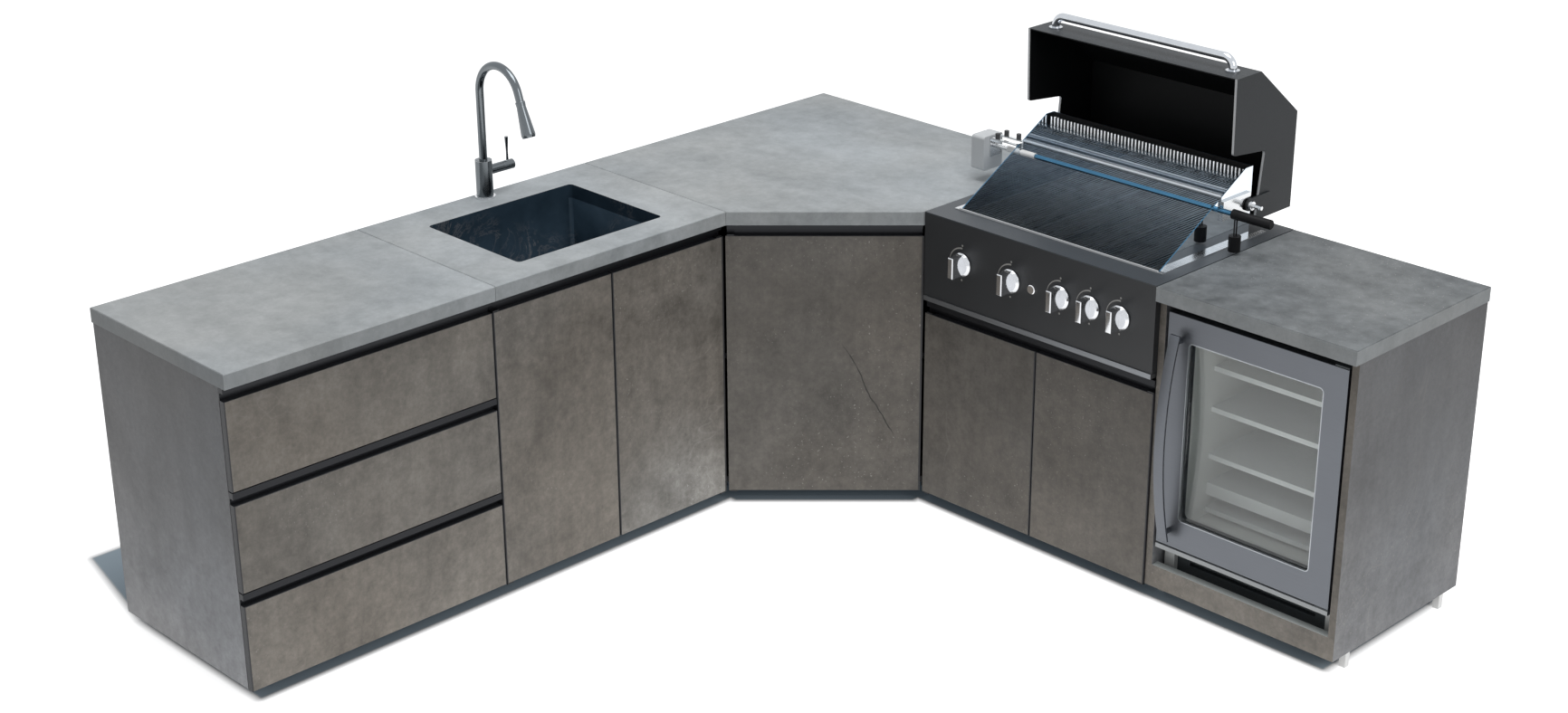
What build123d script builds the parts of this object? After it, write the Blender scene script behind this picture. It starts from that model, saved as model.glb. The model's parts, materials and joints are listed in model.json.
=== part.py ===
from build123d import *
import math
import os

# An L-shaped outdoor kitchen: a drawer unit and a sink unit on the left wing, a corner unit with a
# diagonal door, and a gas grill unit and a fridge unit on the right wing. Millimetres, +Z up.
# In the working frame the back edges of the two wings meet at x = 0, y = 0. The left wing runs
# along -Y and faces +X, and the right wing runs along +X and faces -Y. Each unit is drawn in a frame
# of its own, as seen from its front: x to the right, y to the back, y = 0 on its back edge.

# Worktops and units
worktop_depth = 600
worktop_height = 900
worktop_thickness = 40
worktop_chamfer = 2
unit_joint = 1
corner_leg = 985
drawer_unit_width = 800
sink_unit_width = 800
grill_unit_width = 800
fridge_unit_width = 600

# Cabinet boards, end panels and feet
board = 18
back_board = 12
back_setback = 10
carcass_bottom = 60
stretcher_depth = 24
end_panel_thickness = 20
end_panel_setback = 4
corner_shelf_height = 430
corner_shelf_setback = 40
foot_pad_radius = 24
foot_pad_height = 10
foot_stem = 14
foot_plate = 36
foot_plate_height = 6
foot_inset = 70
panel_foot = 18

# Fronts, finger rails and door pivots
front_setback = 16
front_thickness = 18
front_buffer = 2
front_gap = 3
front_bottom = 42
front_chamfer = 1
corner_front_gap = 8
rail_zone = 37
rail_web = 3
rail_lip_height = 17
rail_inset = 2
rail_cove = 6
pivot_inset = 5
pivot_radius = 3
pivot_clearance = 0.05
pivot_depth = 12
pivot_gap = 0.5
pivot_plate = 3
pivot_width = 20
pivot_reach = 30

# Drawers and runners
drawer_count = 3
drawer_length = 490
drawer_wall = 12
drawer_floor = 8
drawer_box_height = 140
drawer_box_lift = 50
runner_web = 3
runner_ledge = 20
runner_height = 40
runner_space = 12
runner_gap = 0.3

# Sink and waste
sink_length = 500
sink_width = 390
sink_depth = 190
sink_wall = 8
sink_flange = 20
sink_corner = 12
sink_from_back = 117
drain_radius = 45
drain_flange_radius = 56
drain_flange_height = 3
drain_recess = 20
waste_tail_radius = 22
waste_tail_length = 70
trap_radius = 34
trap_height = 110
waste_pipe_radius = 20
waste_outlet_length = 60

# Tap
tap_offset = 8
tap_from_back = 38
tap_base_radius = 29
tap_base_height = 6
tap_body_radius = 24
tap_body_height = 110
tap_shank_radius = 12
tap_shank_length = 75
tap_nut_radius = 15
tap_nut_height = 12
tap_neck_radius = 11.5
tap_neck_top = 309
tap_bend_radius = 87
tap_bend_angle = 161
tap_neck_end = 22
tap_spigot_radius = 9
tap_spigot_depth = 26
tap_fit = 0.05
tap_head_gap = 0.3
tap_head_length = 100
tap_head_top_radius = 14
tap_head_tip_radius = 20
tap_head_plug_radius = 8
tap_head_plug_length = 16
tap_valve_height = 76
tap_valve_radius = 14
tap_valve_reach = 66
tap_cap_gap = 0.3
tap_cap_length = 34
tap_pin_radius = 5
tap_pin_length = 18
tap_lever_length = 68
tap_lever_radius = 4
tap_lever_tip_radius = 5.5

# Grill body
rim_thickness = 3
control_front = 596
control_height = 245
control_sheet = 3
control_side_gap = 1
trim_height = 14
trim_lip = 3
trim_side_gap = 3
grill_rail_drop = 8
firebox_front = 520
firebox_back = 128
firebox_half_width = 342
firebox_wall = 3
firebox_depth = 200
firebox_lip = 5
firebox_flange = 16
firebox_flange_back = 70
firebox_flange_sheet = 2
grate_ledge = 12
grate_drop = 10
grate_bar = 6
grate_bar_height = 8
grate_pitch = 10.7
grate_sections = 3
grate_gap = 2
tamer_drop = 60
tamer_half_width = 46
tamer_rise = 34
tamer_sheet = 2
burner_count = 5
burner_radius = 14
burner_drop = 110
manifold_side = 16
manifold_from_front = 23
valve_side = 24
valve_length = 6
stem_radius = 5
stem_hole_radius = 7
upper_wall = 3
upper_wall_front = 512
upper_wall_rise = 197
upper_wall_crest = 160
rack_front = 192
rack_back = 148
rack_rise = 190
rack_depth = 34
rack_wire = 3
rack_pitch = 12

# Lid and its hinge
lid_half_width = 352
lid_side = 7.5
lid_sheet = 3
lid_front = 514
lid_rim_rise = 8
lid_front_rise = 114
lid_slope_end = 368
lid_rise = 293
lid_back = 98
lid_back_rise = 133
lid_step_back = 289
lid_step_rise = 156
lid_step_front = 305
lid_step_rim_rise = 14
lid_step_round = 9
lid_open_angle = 90
hinge_from_back = 152
hinge_rise = 96
hinge_radius = 8
hinge_clearance = 0.05
hinge_arm = 5
hinge_boss_radius = 17
hinge_arm_reach = 85
hinge_nut_gap = 0.5
hinge_nut_radius = 12
hinge_nut_length = 10
hinge_tip_radius = 5.5
hinge_tip_length = 28
handle_radius = 11
handle_stand = 36
handle_half_span = 298
handle_bend = 28
handle_flange_radius = 19
handle_flange_height = 4

# Rotisserie
spit_from_back = 268
spit_rise = 108
spit_side = 10
spit_journal_radius = 7
spit_slot_clearance = 0.4
spit_fit = 0.05
bracket_sheet = 4
bracket_foot = 33
bracket_rise = 24
bracket_front = 16
bracket_rear = 32
bracket_strip = 10
hinge_plate_sheet = 8
hinge_plate_start = 6
hinge_plate_margin = 12
motor_gap = 101
motor_width = 46
motor_depth = 80
motor_drop = 72
motor_rise = 28
motor_corner = 8
spit_socket_depth = 30
thumb_screw_radius = 7
thumb_screw_height = 16
thumb_screw_inset = 26
collar_start = 387
collar_length = 20
collar_radius = 13.5
grip_length = 102
grip_radius = 13
grip_end_bevel = 3
weight_radius = 16.5
weight_height = 42
weight_drop = 100
weight_rod_radius = 2
weight_rod_spread = 5

# Knobs and igniter
knob_offsets = [-260, -85, 86, 187, 287]
knob_drop = 118
knob_gap = 1
knob_radius = 34
knob_rim = 5
knob_hub_radius = 28
knob_base = 12
knob_reach = 49
knob_bar_width = 18
knob_bar_length = 60
knob_bar_chamfer = 2
knob_bore_depth = 18
knob_fit = 0.05
igniter_offset = -10
igniter_drop = 122
igniter_radius = 13
igniter_fit = 0.3
igniter_stand = 7
igniter_length = 8
igniter_bezel = 4

# Fridge
fridge_width = 540
fridge_drop = 66
fridge_wall = 32
fridge_base = 20
fridge_back = 30
fridge_floor = 176
fridge_door_bottom = 180
fridge_door_thickness = 40
fridge_door_front = 577
fridge_seal_gap = 5
window_side = 65
window_top = 68
window_bottom = 80
window_corner = 14
glass_thickness = 16
glass_setback = 8
fridge_handle_inset = 42
fridge_handle_width = 30
fridge_handle_sheet = 6
fridge_handle_stand = 22
fridge_handle_bow = 40
fridge_handle_top = 47
fridge_handle_bottom = 25
fridge_post_radius = 7
fridge_post_inset = 22
fridge_pivot_inset = 14
fridge_pivot_radius = 5
fridge_pivot_depth = 14
fridge_hinge_plate = 4
fridge_hinge_width = 40
fridge_hinge_gap = 1
fridge_sill = 12
shelf_heights = [219, 375, 511, 628]
shelf_sheet = 5
shelf_setback = 130
shelf_trim_height = 14
shelf_trim_depth = 10
crisper_bottom = 270
crisper_height = 35
plinth_setback = 30
vent_slats = 5
vent_slat_height = 4
vent_margin = 40
fixing_block = 40
fixing_from_side = 60
base_panel_top = 106
base_panel_thickness = 26
bay_panel_front = 577

# Places worked out from the sizes above
worktop_under = worktop_height - worktop_thickness
left_length = corner_leg + sink_unit_width + drawer_unit_width
right_length = corner_leg + grill_unit_width + fridge_unit_width
front_face = -worktop_depth + front_setback
front_rear = front_face + front_thickness
carcass_front = front_rear + front_buffer
fronts_top = worktop_under - rail_zone
control_bottom = worktop_height - control_height
firebox_bottom = worktop_height - firebox_depth
grate_top = worktop_height - grate_drop
tamer_height = worktop_height - tamer_drop
burner_height = worktop_height - burner_drop
knob_height = worktop_height - knob_drop
igniter_height = worktop_height - igniter_drop
upper_wall_top = worktop_height + upper_wall_rise
rack_top = worktop_height + rack_rise
lid_rim = worktop_height + lid_rim_rise
lid_front_top = worktop_height + lid_front_rise
lid_top = worktop_height + lid_rise
lid_back_rim = worktop_height + lid_back_rise
lid_step_top = worktop_height + lid_step_rise
lid_step_rim = worktop_height + lid_step_rim_rise
hinge_height = worktop_height + hinge_rise
spit_height = worktop_height + spit_rise
fridge_top = worktop_height - fridge_drop
half_joint = unit_joint / 2
half_gap = front_gap / 2
lid_overhang = lid_top - hinge_height - hinge_from_back
origin_x = right_length / 2
origin_y = (lid_overhang - left_length) / 2
to_origin = Pos(-origin_x, -origin_y, 0)
left_wing = Pos(0, -left_length, 0) * Rot(0, 0, 90)
drawer_place = left_wing
sink_place = left_wing * Pos(drawer_unit_width, 0, 0)
corner_place = Pos(0, 0, 0)
grill_place = Pos(corner_leg, 0, 0)
fridge_place = Pos(corner_leg + grill_unit_width, 0, 0)
diagonal_mid = (worktop_depth + corner_leg) / 2
diagonal_place = Pos(diagonal_mid, -diagonal_mid, 0) * Rot(0, 0, 45)


def block(x0, x1, y0, y1, z0, z1):
    """A rectangular piece between two corners."""
    size = Box(x1 - x0, y1 - y0, z1 - z0)
    return Pos((x0 + x1) / 2, (y0 + y1) / 2, (z0 + z1) / 2) * size


def prism_x(points, x0, x1, rounded=(), radius=0):
    """A straight piece along x with the outline given as (y, z) points, some of them rounded."""
    outline = make_face(Polyline(*points, close=True))
    for point in rounded:
        outline = fillet(outline.vertices().sort_by_distance(point)[0], radius)
    return Pos(x0, 0, 0) * extrude(Plane.YZ * outline, x1 - x0)


def prism_z(points, z0, z1):
    """An upright piece with the outline given as (x, y) points."""
    outline = make_face(Polyline(*points, close=True))
    return Pos(0, 0, z0) * extrude(outline, z1 - z0)


def turned(points):
    """A piece turned about the z axis from (radius, z) points."""
    outline = make_face(Polyline(*points, close=True))
    return revolve(Plane.XZ * outline, Axis.Z)


def upright(radius, z0, z1):
    """A round piece on the z axis."""
    return Pos(0, 0, z0) * Cylinder(radius, z1 - z0, align=(Align.CENTER, Align.CENTER, Align.MIN))


def along_x(radius, x0, x1):
    """A round piece on the x axis."""
    return Rot(0, 90, 0) * upright(radius, x0, x1)


def along_y(radius, y0, y1):
    """A round piece on the y axis."""
    return Rot(-90, 0, 0) * upright(radius, y0, y1)


nodes = {}


def keep(name, place, *solids):
    """Add solids, drawn in a unit's frame, to a named piece of the kitchen."""
    nodes.setdefault(name, []).extend(to_origin * place * solid for solid in solids)


def slab_edges(slab):
    """Break the top edges of a worktop."""
    return chamfer(slab.faces().sort_by(Axis.Z)[-1].edges(), worktop_chamfer)


def worktop(x0, x1):
    """A straight worktop between two places along its wing."""
    return slab_edges(block(x0, x1, -worktop_depth, 0, worktop_under, worktop_height))


def corner_outline(inset, side, front):
    """Five-sided plan of the corner unit: back inset, end line, and x - y on the diagonal."""
    near = front - side
    return [(inset, -inset), (side, -inset), (side, -near), (near, -side), (inset, -side)]


def carcass(x0, x1, top):
    """Boards of a straight cabinet: two sides, floor, back and front stretcher."""
    left, right = x0 + board, x1 - board
    back = -back_setback
    return [
        block(x0, left, carcass_front, back, carcass_bottom, top),
        block(right, x1, carcass_front, back, carcass_bottom, top),
        block(left, right, carcass_front, back, carcass_bottom, carcass_bottom + board),
        block(left, right, back - back_board, back, carcass_bottom + board, top),
    ]


def stretcher(x0, x1, top):
    """Front rail between a cabinet's sides, under the worktop."""
    rear = carcass_front + stretcher_depth
    return block(x0 + board, x1 - board, carcass_front, rear, top - board, top)


def front(x0, x1, z0, z1, face):
    """A drawer or door front with its visible edges broken."""
    panel = block(x0, x1, face, face + front_thickness, z0, z1)
    return chamfer(panel.faces().sort_by(Axis.Y)[0].edges(), front_chamfer)


def door(x0, x1, z0, z1, face, pivot_x):
    """A front with a blind pivot hole in its top and bottom edges."""
    hole = pivot_radius + pivot_clearance
    panel = front(x0, x1, z0, z1, face)
    at = Pos(pivot_x, face + pivot_inset, 0)
    panel -= at * upright(hole, z0, z0 + pivot_depth)
    panel -= at * upright(hole, z1 - pivot_depth, z1)
    return panel


def pivots(z0, z1, face, pivot_x, inward):
    """Lower and upper pivot brackets of a door; inward is the way to the door's middle."""
    pin_end = pivot_depth - pivot_gap
    cabinet = face + front_thickness + front_buffer
    x0, x1 = sorted((pivot_x - inward * pivot_inset, pivot_x + inward * (pivot_width - pivot_inset)))
    low = z0 - pivot_gap
    under = carcass_bottom - pivot_plate
    lower = prism_x(
        [
            (face + 1, low),
            (face + 1, low - pivot_plate),
            (cabinet + pivot_plate, low - pivot_plate),
            (cabinet + pivot_plate, under),
            (cabinet + pivot_reach, under),
            (cabinet + pivot_reach, carcass_bottom),
            (cabinet, carcass_bottom),
            (cabinet, low),
        ],
        x0,
        x1,
    )
    pin = Pos(pivot_x, face + pivot_inset, 0)
    lower += pin * upright(pivot_radius, low, z0 + pin_end)
    high = z1 + pivot_gap
    upper = block(x0, x1, face + 1, cabinet - rail_web, high, high + pivot_plate)
    upper += pin * upright(pivot_radius, z1 - pin_end, high)
    return [lower, upper]


def finger_rail(x0, x1, z0, z1, face):
    """Handle rail: a lip above and an open recess below, with a cove between them."""
    cabinet = face + front_thickness + front_buffer
    web = cabinet - rail_web
    lip = z1 - rail_lip_height
    outline = make_face(
        Polyline(
            (cabinet, z0),
            (web, z0),
            (web, lip),
            (face + rail_inset, lip),
            (face + rail_inset, z1),
            (cabinet, z1),
            close=True,
        )
    )
    inner = outline.vertices().sort_by_distance((web, lip, 0))[0]
    outline = fillet(inner, rail_cove)
    return Pos(x0, 0, 0) * extrude(Plane.YZ * outline, x1 - x0)


def foot(height):
    """Levelling foot: eight-sided pad, square stem and plate under the cabinet."""
    pad = extrude(RegularPolygon(foot_pad_radius, 8), foot_pad_height)
    stem = foot_stem / 2
    plate = foot_plate / 2
    pad += block(-stem, stem, -stem, stem, foot_pad_height, height)
    pad += block(-plate, plate, -plate, plate, height - foot_plate_height, height)
    return pad


# Drawer unit, at the free end of the left wing
body_left = end_panel_setback + end_panel_thickness
body_right = drawer_unit_width - half_joint
keep("worktop_drawers", drawer_place, worktop(0, body_right))
keep("carcass_drawers", drawer_place, *carcass(body_left, drawer_unit_width, worktop_under))
keep("carcass_drawers", drawer_place, stretcher(body_left, drawer_unit_width, worktop_under))
end_panel = block(end_panel_setback, body_left, carcass_front, 0, front_bottom, worktop_under)
keep("end_panel_left", drawer_place, end_panel)

drawer_pitch = (fronts_top + rail_zone - front_bottom) / drawer_count
front_right = drawer_unit_width - half_gap
box_left = body_left + board + runner_space
box_right = drawer_unit_width - board - runner_space
drawer_names = ["bottom", "middle", "top"]
for index in range(drawer_count):
    name = drawer_names[index]
    low = front_bottom + index * drawer_pitch
    high = low + drawer_pitch - rail_zone
    face_panel = front(end_panel_setback, front_right, low, high, front_face)
    keep("drawer_front_" + name, drawer_place, face_panel)
    floor = low + drawer_box_lift
    rim = floor + drawer_box_height
    rear = front_rear + drawer_length
    inner_left, inner_right = box_left + drawer_wall, box_right - drawer_wall
    keep(
        "drawer_box_" + name,
        drawer_place,
        block(box_left, inner_left, front_rear, rear, floor, rim),
        block(inner_right, box_right, front_rear, rear, floor, rim),
        block(inner_left, inner_right, front_rear, rear, floor, floor + drawer_floor),
        block(inner_left, inner_right, rear - drawer_wall, rear, floor + drawer_floor, rim),
    )
    ledge = floor - runner_gap
    wall = body_left + board
    section = [
        (wall, ledge - runner_web),
        (wall + runner_ledge, ledge - runner_web),
        (wall + runner_ledge, ledge),
        (wall + runner_web, ledge),
        (wall + runner_web, ledge + runner_height),
        (wall, ledge + runner_height),
    ]
    runner = Plane.XZ * make_face(Polyline(*section, close=True))
    runner = Pos(0, rear, 0) * extrude(runner, rear - carcass_front)
    middle = Plane.YZ.offset((body_left + drawer_unit_width) / 2)
    keep("drawer_runners", drawer_place, runner, mirror(runner, middle))
    rail_top = high + rail_zone - (0 if index == drawer_count - 1 else front_gap)
    rail = finger_rail(end_panel_setback, body_right, high, rail_top, front_face)
    keep("finger_rails", drawer_place, rail)

# Sink unit
sink_left, sink_right = half_joint, sink_unit_width - half_joint
sink_mid = sink_unit_width / 2
sink_y = -sink_from_back - sink_width / 2
top_slab = worktop(sink_left, sink_right)
hole = Pos(sink_mid, sink_y, 0) * Rectangle(sink_length, sink_width)
hole = fillet(hole.vertices(), sink_corner)
top_slab -= Pos(0, 0, worktop_under) * extrude(hole, worktop_thickness)
tap_place = sink_place * Pos(sink_mid + tap_offset, -tap_from_back, worktop_height)
top_slab -= Pos(sink_mid + tap_offset, -tap_from_back, 0) * upright(
    tap_shank_radius, worktop_under, worktop_height
)
keep("worktop_sink", sink_place, top_slab)
keep("carcass_sink", sink_place, *carcass(0, sink_unit_width, worktop_under))
keep("carcass_sink", sink_place, stretcher(0, sink_unit_width, worktop_under))
keep("finger_rails", sink_place, finger_rail(sink_left, sink_right, fronts_top, worktop_under, front_face))
pairs = [
    ("sink_door_left", half_gap, sink_mid - half_gap, 1),
    ("sink_door_right", sink_mid + half_gap, sink_unit_width - half_gap, -1),
]
for name, x0, x1, inward in pairs:
    pivot_x = (x0 if inward > 0 else x1) + inward * pivot_inset
    keep(name, sink_place, door(x0, x1, front_bottom, fronts_top, front_face, pivot_x))
    keep("door_pivots", sink_place, *pivots(front_bottom, fronts_top, front_face, pivot_x, inward))

# The bowl hangs under the worktop by its flange and drains through a hole near its back
bowl_bottom = worktop_under - sink_depth
bowl_outer = Pos(sink_mid, sink_y) * Rectangle(sink_length + 2 * sink_wall, sink_width + 2 * sink_wall)
bowl_outer = fillet(bowl_outer.vertices(), sink_corner + sink_wall)
bowl = extrude(bowl_outer, sink_depth)
flange_x = sink_length + 2 * sink_flange
flange_y = sink_width + 2 * sink_flange
flange = Pos(sink_mid, sink_y) * Rectangle(flange_x, flange_y)
bowl += Pos(0, 0, sink_depth - sink_wall) * extrude(flange, sink_wall)
bowl -= Pos(0, 0, sink_wall) * extrude(hole, sink_depth)
drain = Pos(sink_mid, sink_y, 0)
bowl -= drain * upright(drain_radius, 0, sink_wall)
keep("sink_bowl", sink_place * Pos(0, 0, bowl_bottom), bowl)

# Waste: strainer cup in the drain, tail pipe, bottle trap and outlet to the back
cup_bottom = -drain_recess
tail_bottom = cup_bottom - waste_tail_length
strainer = turned(
    [
        (0, cup_bottom),
        (drain_radius, cup_bottom),
        (drain_radius, sink_wall),
        (drain_flange_radius, sink_wall),
        (drain_flange_radius, sink_wall + drain_flange_height),
        (drain_radius - drain_flange_height, sink_wall + drain_flange_height),
        (drain_radius - drain_flange_height, cup_bottom + drain_flange_height),
        (0, cup_bottom + drain_flange_height),
    ]
)
trap = turned(
    [
        (0, tail_bottom - trap_height),
        (trap_radius - drain_flange_height, tail_bottom - trap_height),
        (trap_radius, tail_bottom - trap_height + drain_flange_height),
        (trap_radius, tail_bottom),
        (waste_tail_radius, tail_bottom + drain_flange_height),
        (waste_tail_radius, cup_bottom),
        (0, cup_bottom),
    ]
)
outlet_z = tail_bottom - 2 * waste_pipe_radius
outlet = Pos(0, 0, outlet_z) * along_y(waste_pipe_radius, 0, trap_radius + waste_outlet_length)
keep("sink_waste", sink_place * Pos(0, 0, bowl_bottom) * drain, strainer + trap + outlet)

# Tap: the body stands behind the bowl, the spout turns in it and the lever sits on its right side
shank_end = -tap_shank_length
nut_top = -worktop_thickness
tap_body = turned(
    [
        (0, shank_end),
        (tap_shank_radius, shank_end),
        (tap_shank_radius, nut_top - tap_nut_height),
        (tap_nut_radius, nut_top - tap_nut_height),
        (tap_nut_radius, nut_top),
        (tap_shank_radius, nut_top),
        (tap_shank_radius, 0),
        (tap_base_radius, 0),
        (tap_base_radius, tap_base_height),
        (tap_body_radius, tap_base_height),
        (tap_body_radius, tap_body_height),
        (0, tap_body_height),
    ]
)
valve = Pos(0, 0, tap_valve_height) * along_x(tap_valve_radius, 0, tap_valve_reach)
tap_body = tap_body + valve
tap_body -= upright(tap_neck_radius + tap_fit, tap_body_height - tap_spigot_depth, tap_body_height)
pin_bore = along_x(tap_pin_radius + tap_fit, tap_valve_reach - tap_pin_length, tap_valve_reach)
tap_body -= Pos(0, 0, tap_valve_height) * pin_bore
keep("tap_body", tap_place, tap_body)

bend = math.radians(tap_bend_angle)
neck_low = tap_body_height - tap_spigot_depth + tap_head_gap


def on_bend(angle):
    """A point on the spout's bend, which leans forward from the neck."""
    along = tap_bend_radius * (1 - math.cos(angle))
    return Vector(0, -along, tap_neck_top + tap_bend_radius * math.sin(angle))


bend_end = on_bend(bend)
end_dir = Vector(0, -math.sin(bend), math.cos(bend))
spout_end = bend_end + end_dir * tap_neck_end
neck_path = Wire(
    [
        Edge.make_line((0, 0, neck_low), (0, 0, tap_neck_top)),
        Edge.make_three_point_arc(on_bend(0), on_bend(bend / 2), bend_end),
        Edge.make_line(bend_end, spout_end),
    ]
)
spout = sweep(Pos(0, 0, neck_low) * Circle(tap_neck_radius), path=neck_path)
head_frame = Plane(origin=spout_end, x_dir=(1, 0, 0), z_dir=end_dir).location
plug_hole = tap_head_plug_radius + tap_fit
spout -= head_frame * upright(plug_hole, -tap_neck_end, 0)
keep("tap_spout", tap_place, spout)
head_tip = tap_head_gap + tap_head_length
head_waist = tap_head_gap + tap_head_length * 0.15
spray_head = turned(
    [
        (0, tap_head_gap - tap_head_plug_length),
        (tap_head_plug_radius, tap_head_gap - tap_head_plug_length),
        (tap_head_plug_radius, tap_head_gap),
        (tap_head_top_radius - 2, tap_head_gap),
        (tap_head_top_radius, tap_head_gap + 2),
        (tap_head_top_radius - 1, head_waist),
        (tap_head_tip_radius, head_tip - 8),
        (tap_head_tip_radius - 2, head_tip),
        (0, head_tip),
    ]
)
keep("tap_spray_head", tap_place * head_frame, spray_head)

cap_start = tap_valve_reach + tap_cap_gap
cap_end = cap_start + tap_cap_length
lever = along_x(tap_valve_radius, cap_start, cap_end)
lever += along_x(tap_pin_radius, tap_valve_reach - tap_pin_length + tap_cap_gap, cap_start)
lever_tip = tap_valve_radius + tap_lever_length
stick = turned(
    [
        (0, 0),
        (tap_lever_radius, 0),
        (tap_lever_radius - 1, lever_tip / 2),
        (tap_lever_tip_radius, lever_tip),
        (0, lever_tip),
    ]
)
lever += Pos((cap_start + cap_end) / 2, 0, 0) * stick
keep("tap_lever", tap_place * Pos(0, 0, tap_valve_height), lever)

# Corner unit
corner_side = corner_leg - half_joint
diagonal = worktop_depth + corner_leg
corner_slab = prism_z(corner_outline(0, corner_side, diagonal), worktop_under, worktop_height)
keep("worktop_corner", corner_place, slab_edges(corner_slab))
cabinet_depth = front_setback + front_thickness + front_buffer
corner_front = diagonal - cabinet_depth * math.sqrt(2)
side_front = corner_front - corner_leg
back_inner = back_setback + back_board
floor_top = carcass_bottom + board
floor_plan = corner_outline(back_inner, corner_leg - board, corner_front)
shelf_front = corner_front - corner_shelf_setback * math.sqrt(2)
shelf_plan = corner_outline(back_inner, corner_leg - board, shelf_front)
corner_boards = [
    block(back_setback, back_inner, -corner_leg, -back_setback, carcass_bottom, worktop_under),
    block(back_inner, corner_leg, -back_inner, -back_setback, carcass_bottom, worktop_under),
    block(back_inner, side_front, -corner_leg, -corner_leg + board, carcass_bottom, worktop_under),
    block(corner_leg - board, corner_leg, -side_front, -back_inner, carcass_bottom, worktop_under),
    prism_z(floor_plan, carcass_bottom, floor_top),
    prism_z(shelf_plan, corner_shelf_height, corner_shelf_height + board),
]
keep("carcass_corner", corner_place, *corner_boards)
half_front = math.sqrt(2) * (diagonal / 2 - front_setback / math.sqrt(2) - worktop_depth + front_setback)
half_door = half_front - corner_front_gap
corner_pivot = -half_door + pivot_inset
corner_door = door(-half_door, half_door, front_bottom, fronts_top, front_setback, corner_pivot)
keep("corner_door", diagonal_place, corner_door)
corner_brackets = pivots(front_bottom, fronts_top, front_setback, corner_pivot, 1)
keep("door_pivots", diagonal_place, *corner_brackets)
corner_rail = finger_rail(-half_door, half_door, fronts_top, worktop_under, front_setback)
keep("finger_rails", diagonal_place, corner_rail)

# Grill unit: its cabinet carries the rim, which takes the place of a worktop
grill_left, grill_right = half_joint, grill_unit_width - half_joint
grill_mid = grill_unit_width / 2
grill_middle = grill_place * Pos(grill_mid, 0, 0)
rim_under = worktop_height - rim_thickness
trim_bottom = control_bottom - trim_height
grill_rail_top = trim_bottom - grill_rail_drop
grill_door_top = grill_rail_top - rail_zone
keep("carcass_grill", grill_place, *carcass(0, grill_unit_width, rim_under))
grill_rail = finger_rail(grill_left, grill_right, grill_door_top, grill_rail_top, front_face)
keep("finger_rails", grill_place, grill_rail)
pairs = [
    ("grill_door_left", half_gap, grill_mid - half_gap, 1),
    ("grill_door_right", grill_mid + half_gap, grill_unit_width - half_gap, -1),
]
for name, x0, x1, inward in pairs:
    pivot_x = (x0 if inward > 0 else x1) + inward * pivot_inset
    keep(name, grill_place, door(x0, x1, front_bottom, grill_door_top, front_face, pivot_x))
    keep("door_pivots", grill_place, *pivots(front_bottom, grill_door_top, front_face, pivot_x, inward))

# Control panel: a folded tray with the knob holes, closed below by a bright trim
half_control = grill_mid - control_side_gap
control = block(-half_control, half_control, -control_front, carcass_front, control_bottom, rim_under)
inner_half = half_control - control_sheet
control -= block(
    -inner_half, inner_half, -control_front + control_sheet, carcass_front, control_bottom, rim_under
)
for offset in knob_offsets:
    control -= Pos(offset, 0, knob_height) * along_y(
        stem_hole_radius, -control_front, -control_front + control_sheet
    )
control -= Pos(igniter_offset, 0, igniter_height) * along_y(
    igniter_radius + igniter_fit, -control_front, -control_front + control_sheet
)
keep("control_panel", grill_middle, control)
half_trim = grill_mid - trim_side_gap
trim = block(-half_trim, half_trim, -control_front - trim_lip, carcass_front, trim_bottom, control_bottom)
trim_in = half_trim - control_sheet
trim_rear = -control_front + control_sheet
trim -= block(-trim_in, trim_in, trim_rear, carcass_front, trim_bottom, control_bottom)
keep("control_trim", grill_middle, trim)

# Rim plate round the firebox
rim = block(-half_control, half_control, -control_front, 0, rim_under, worktop_height)
rim -= block(
    -firebox_half_width, firebox_half_width, -firebox_front, -firebox_back, rim_under, worktop_height
)
keep("grill_rim", grill_middle, rim)

# Firebox: an open box with a raised front lip, ledges for the grates and a drip hole
inner_x = firebox_half_width - firebox_wall
inner_front = -firebox_front + firebox_wall
inner_back = -firebox_back - firebox_wall
box_floor = firebox_bottom + firebox_wall
lip_top = worktop_height + firebox_lip
firebox = block(
    -firebox_half_width, firebox_half_width, -firebox_front, -firebox_back, firebox_bottom, worktop_height
)
firebox += block(
    -firebox_half_width, firebox_half_width, -firebox_front, inner_front, worktop_height, lip_top
)
firebox -= block(-inner_x, inner_x, inner_front, inner_back, box_floor, lip_top)
ledge_top = grate_top - grate_bar_height
ledge_low = ledge_top - firebox_wall
firebox += block(-inner_x, inner_x, inner_front, inner_front + grate_ledge, ledge_low, ledge_top)
firebox += block(-inner_x, inner_x, inner_back - grate_ledge, inner_back, ledge_low, ledge_top)
drip_y = (inner_front + inner_back) / 2
firebox -= Pos(0, drip_y, 0) * upright(drain_flange_height * 4, firebox_bottom, box_floor)

# Bright strips that lie on the rim beside the walls
flange_out = firebox_half_width + firebox_flange
flange_top = worktop_height + firebox_flange_sheet
strip = block(
    firebox_half_width, flange_out, -firebox_front, -firebox_flange_back, worktop_height, flange_top
)
keep("grill_firebox", grill_middle, firebox, strip, mirror(strip, Plane.YZ))

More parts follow.
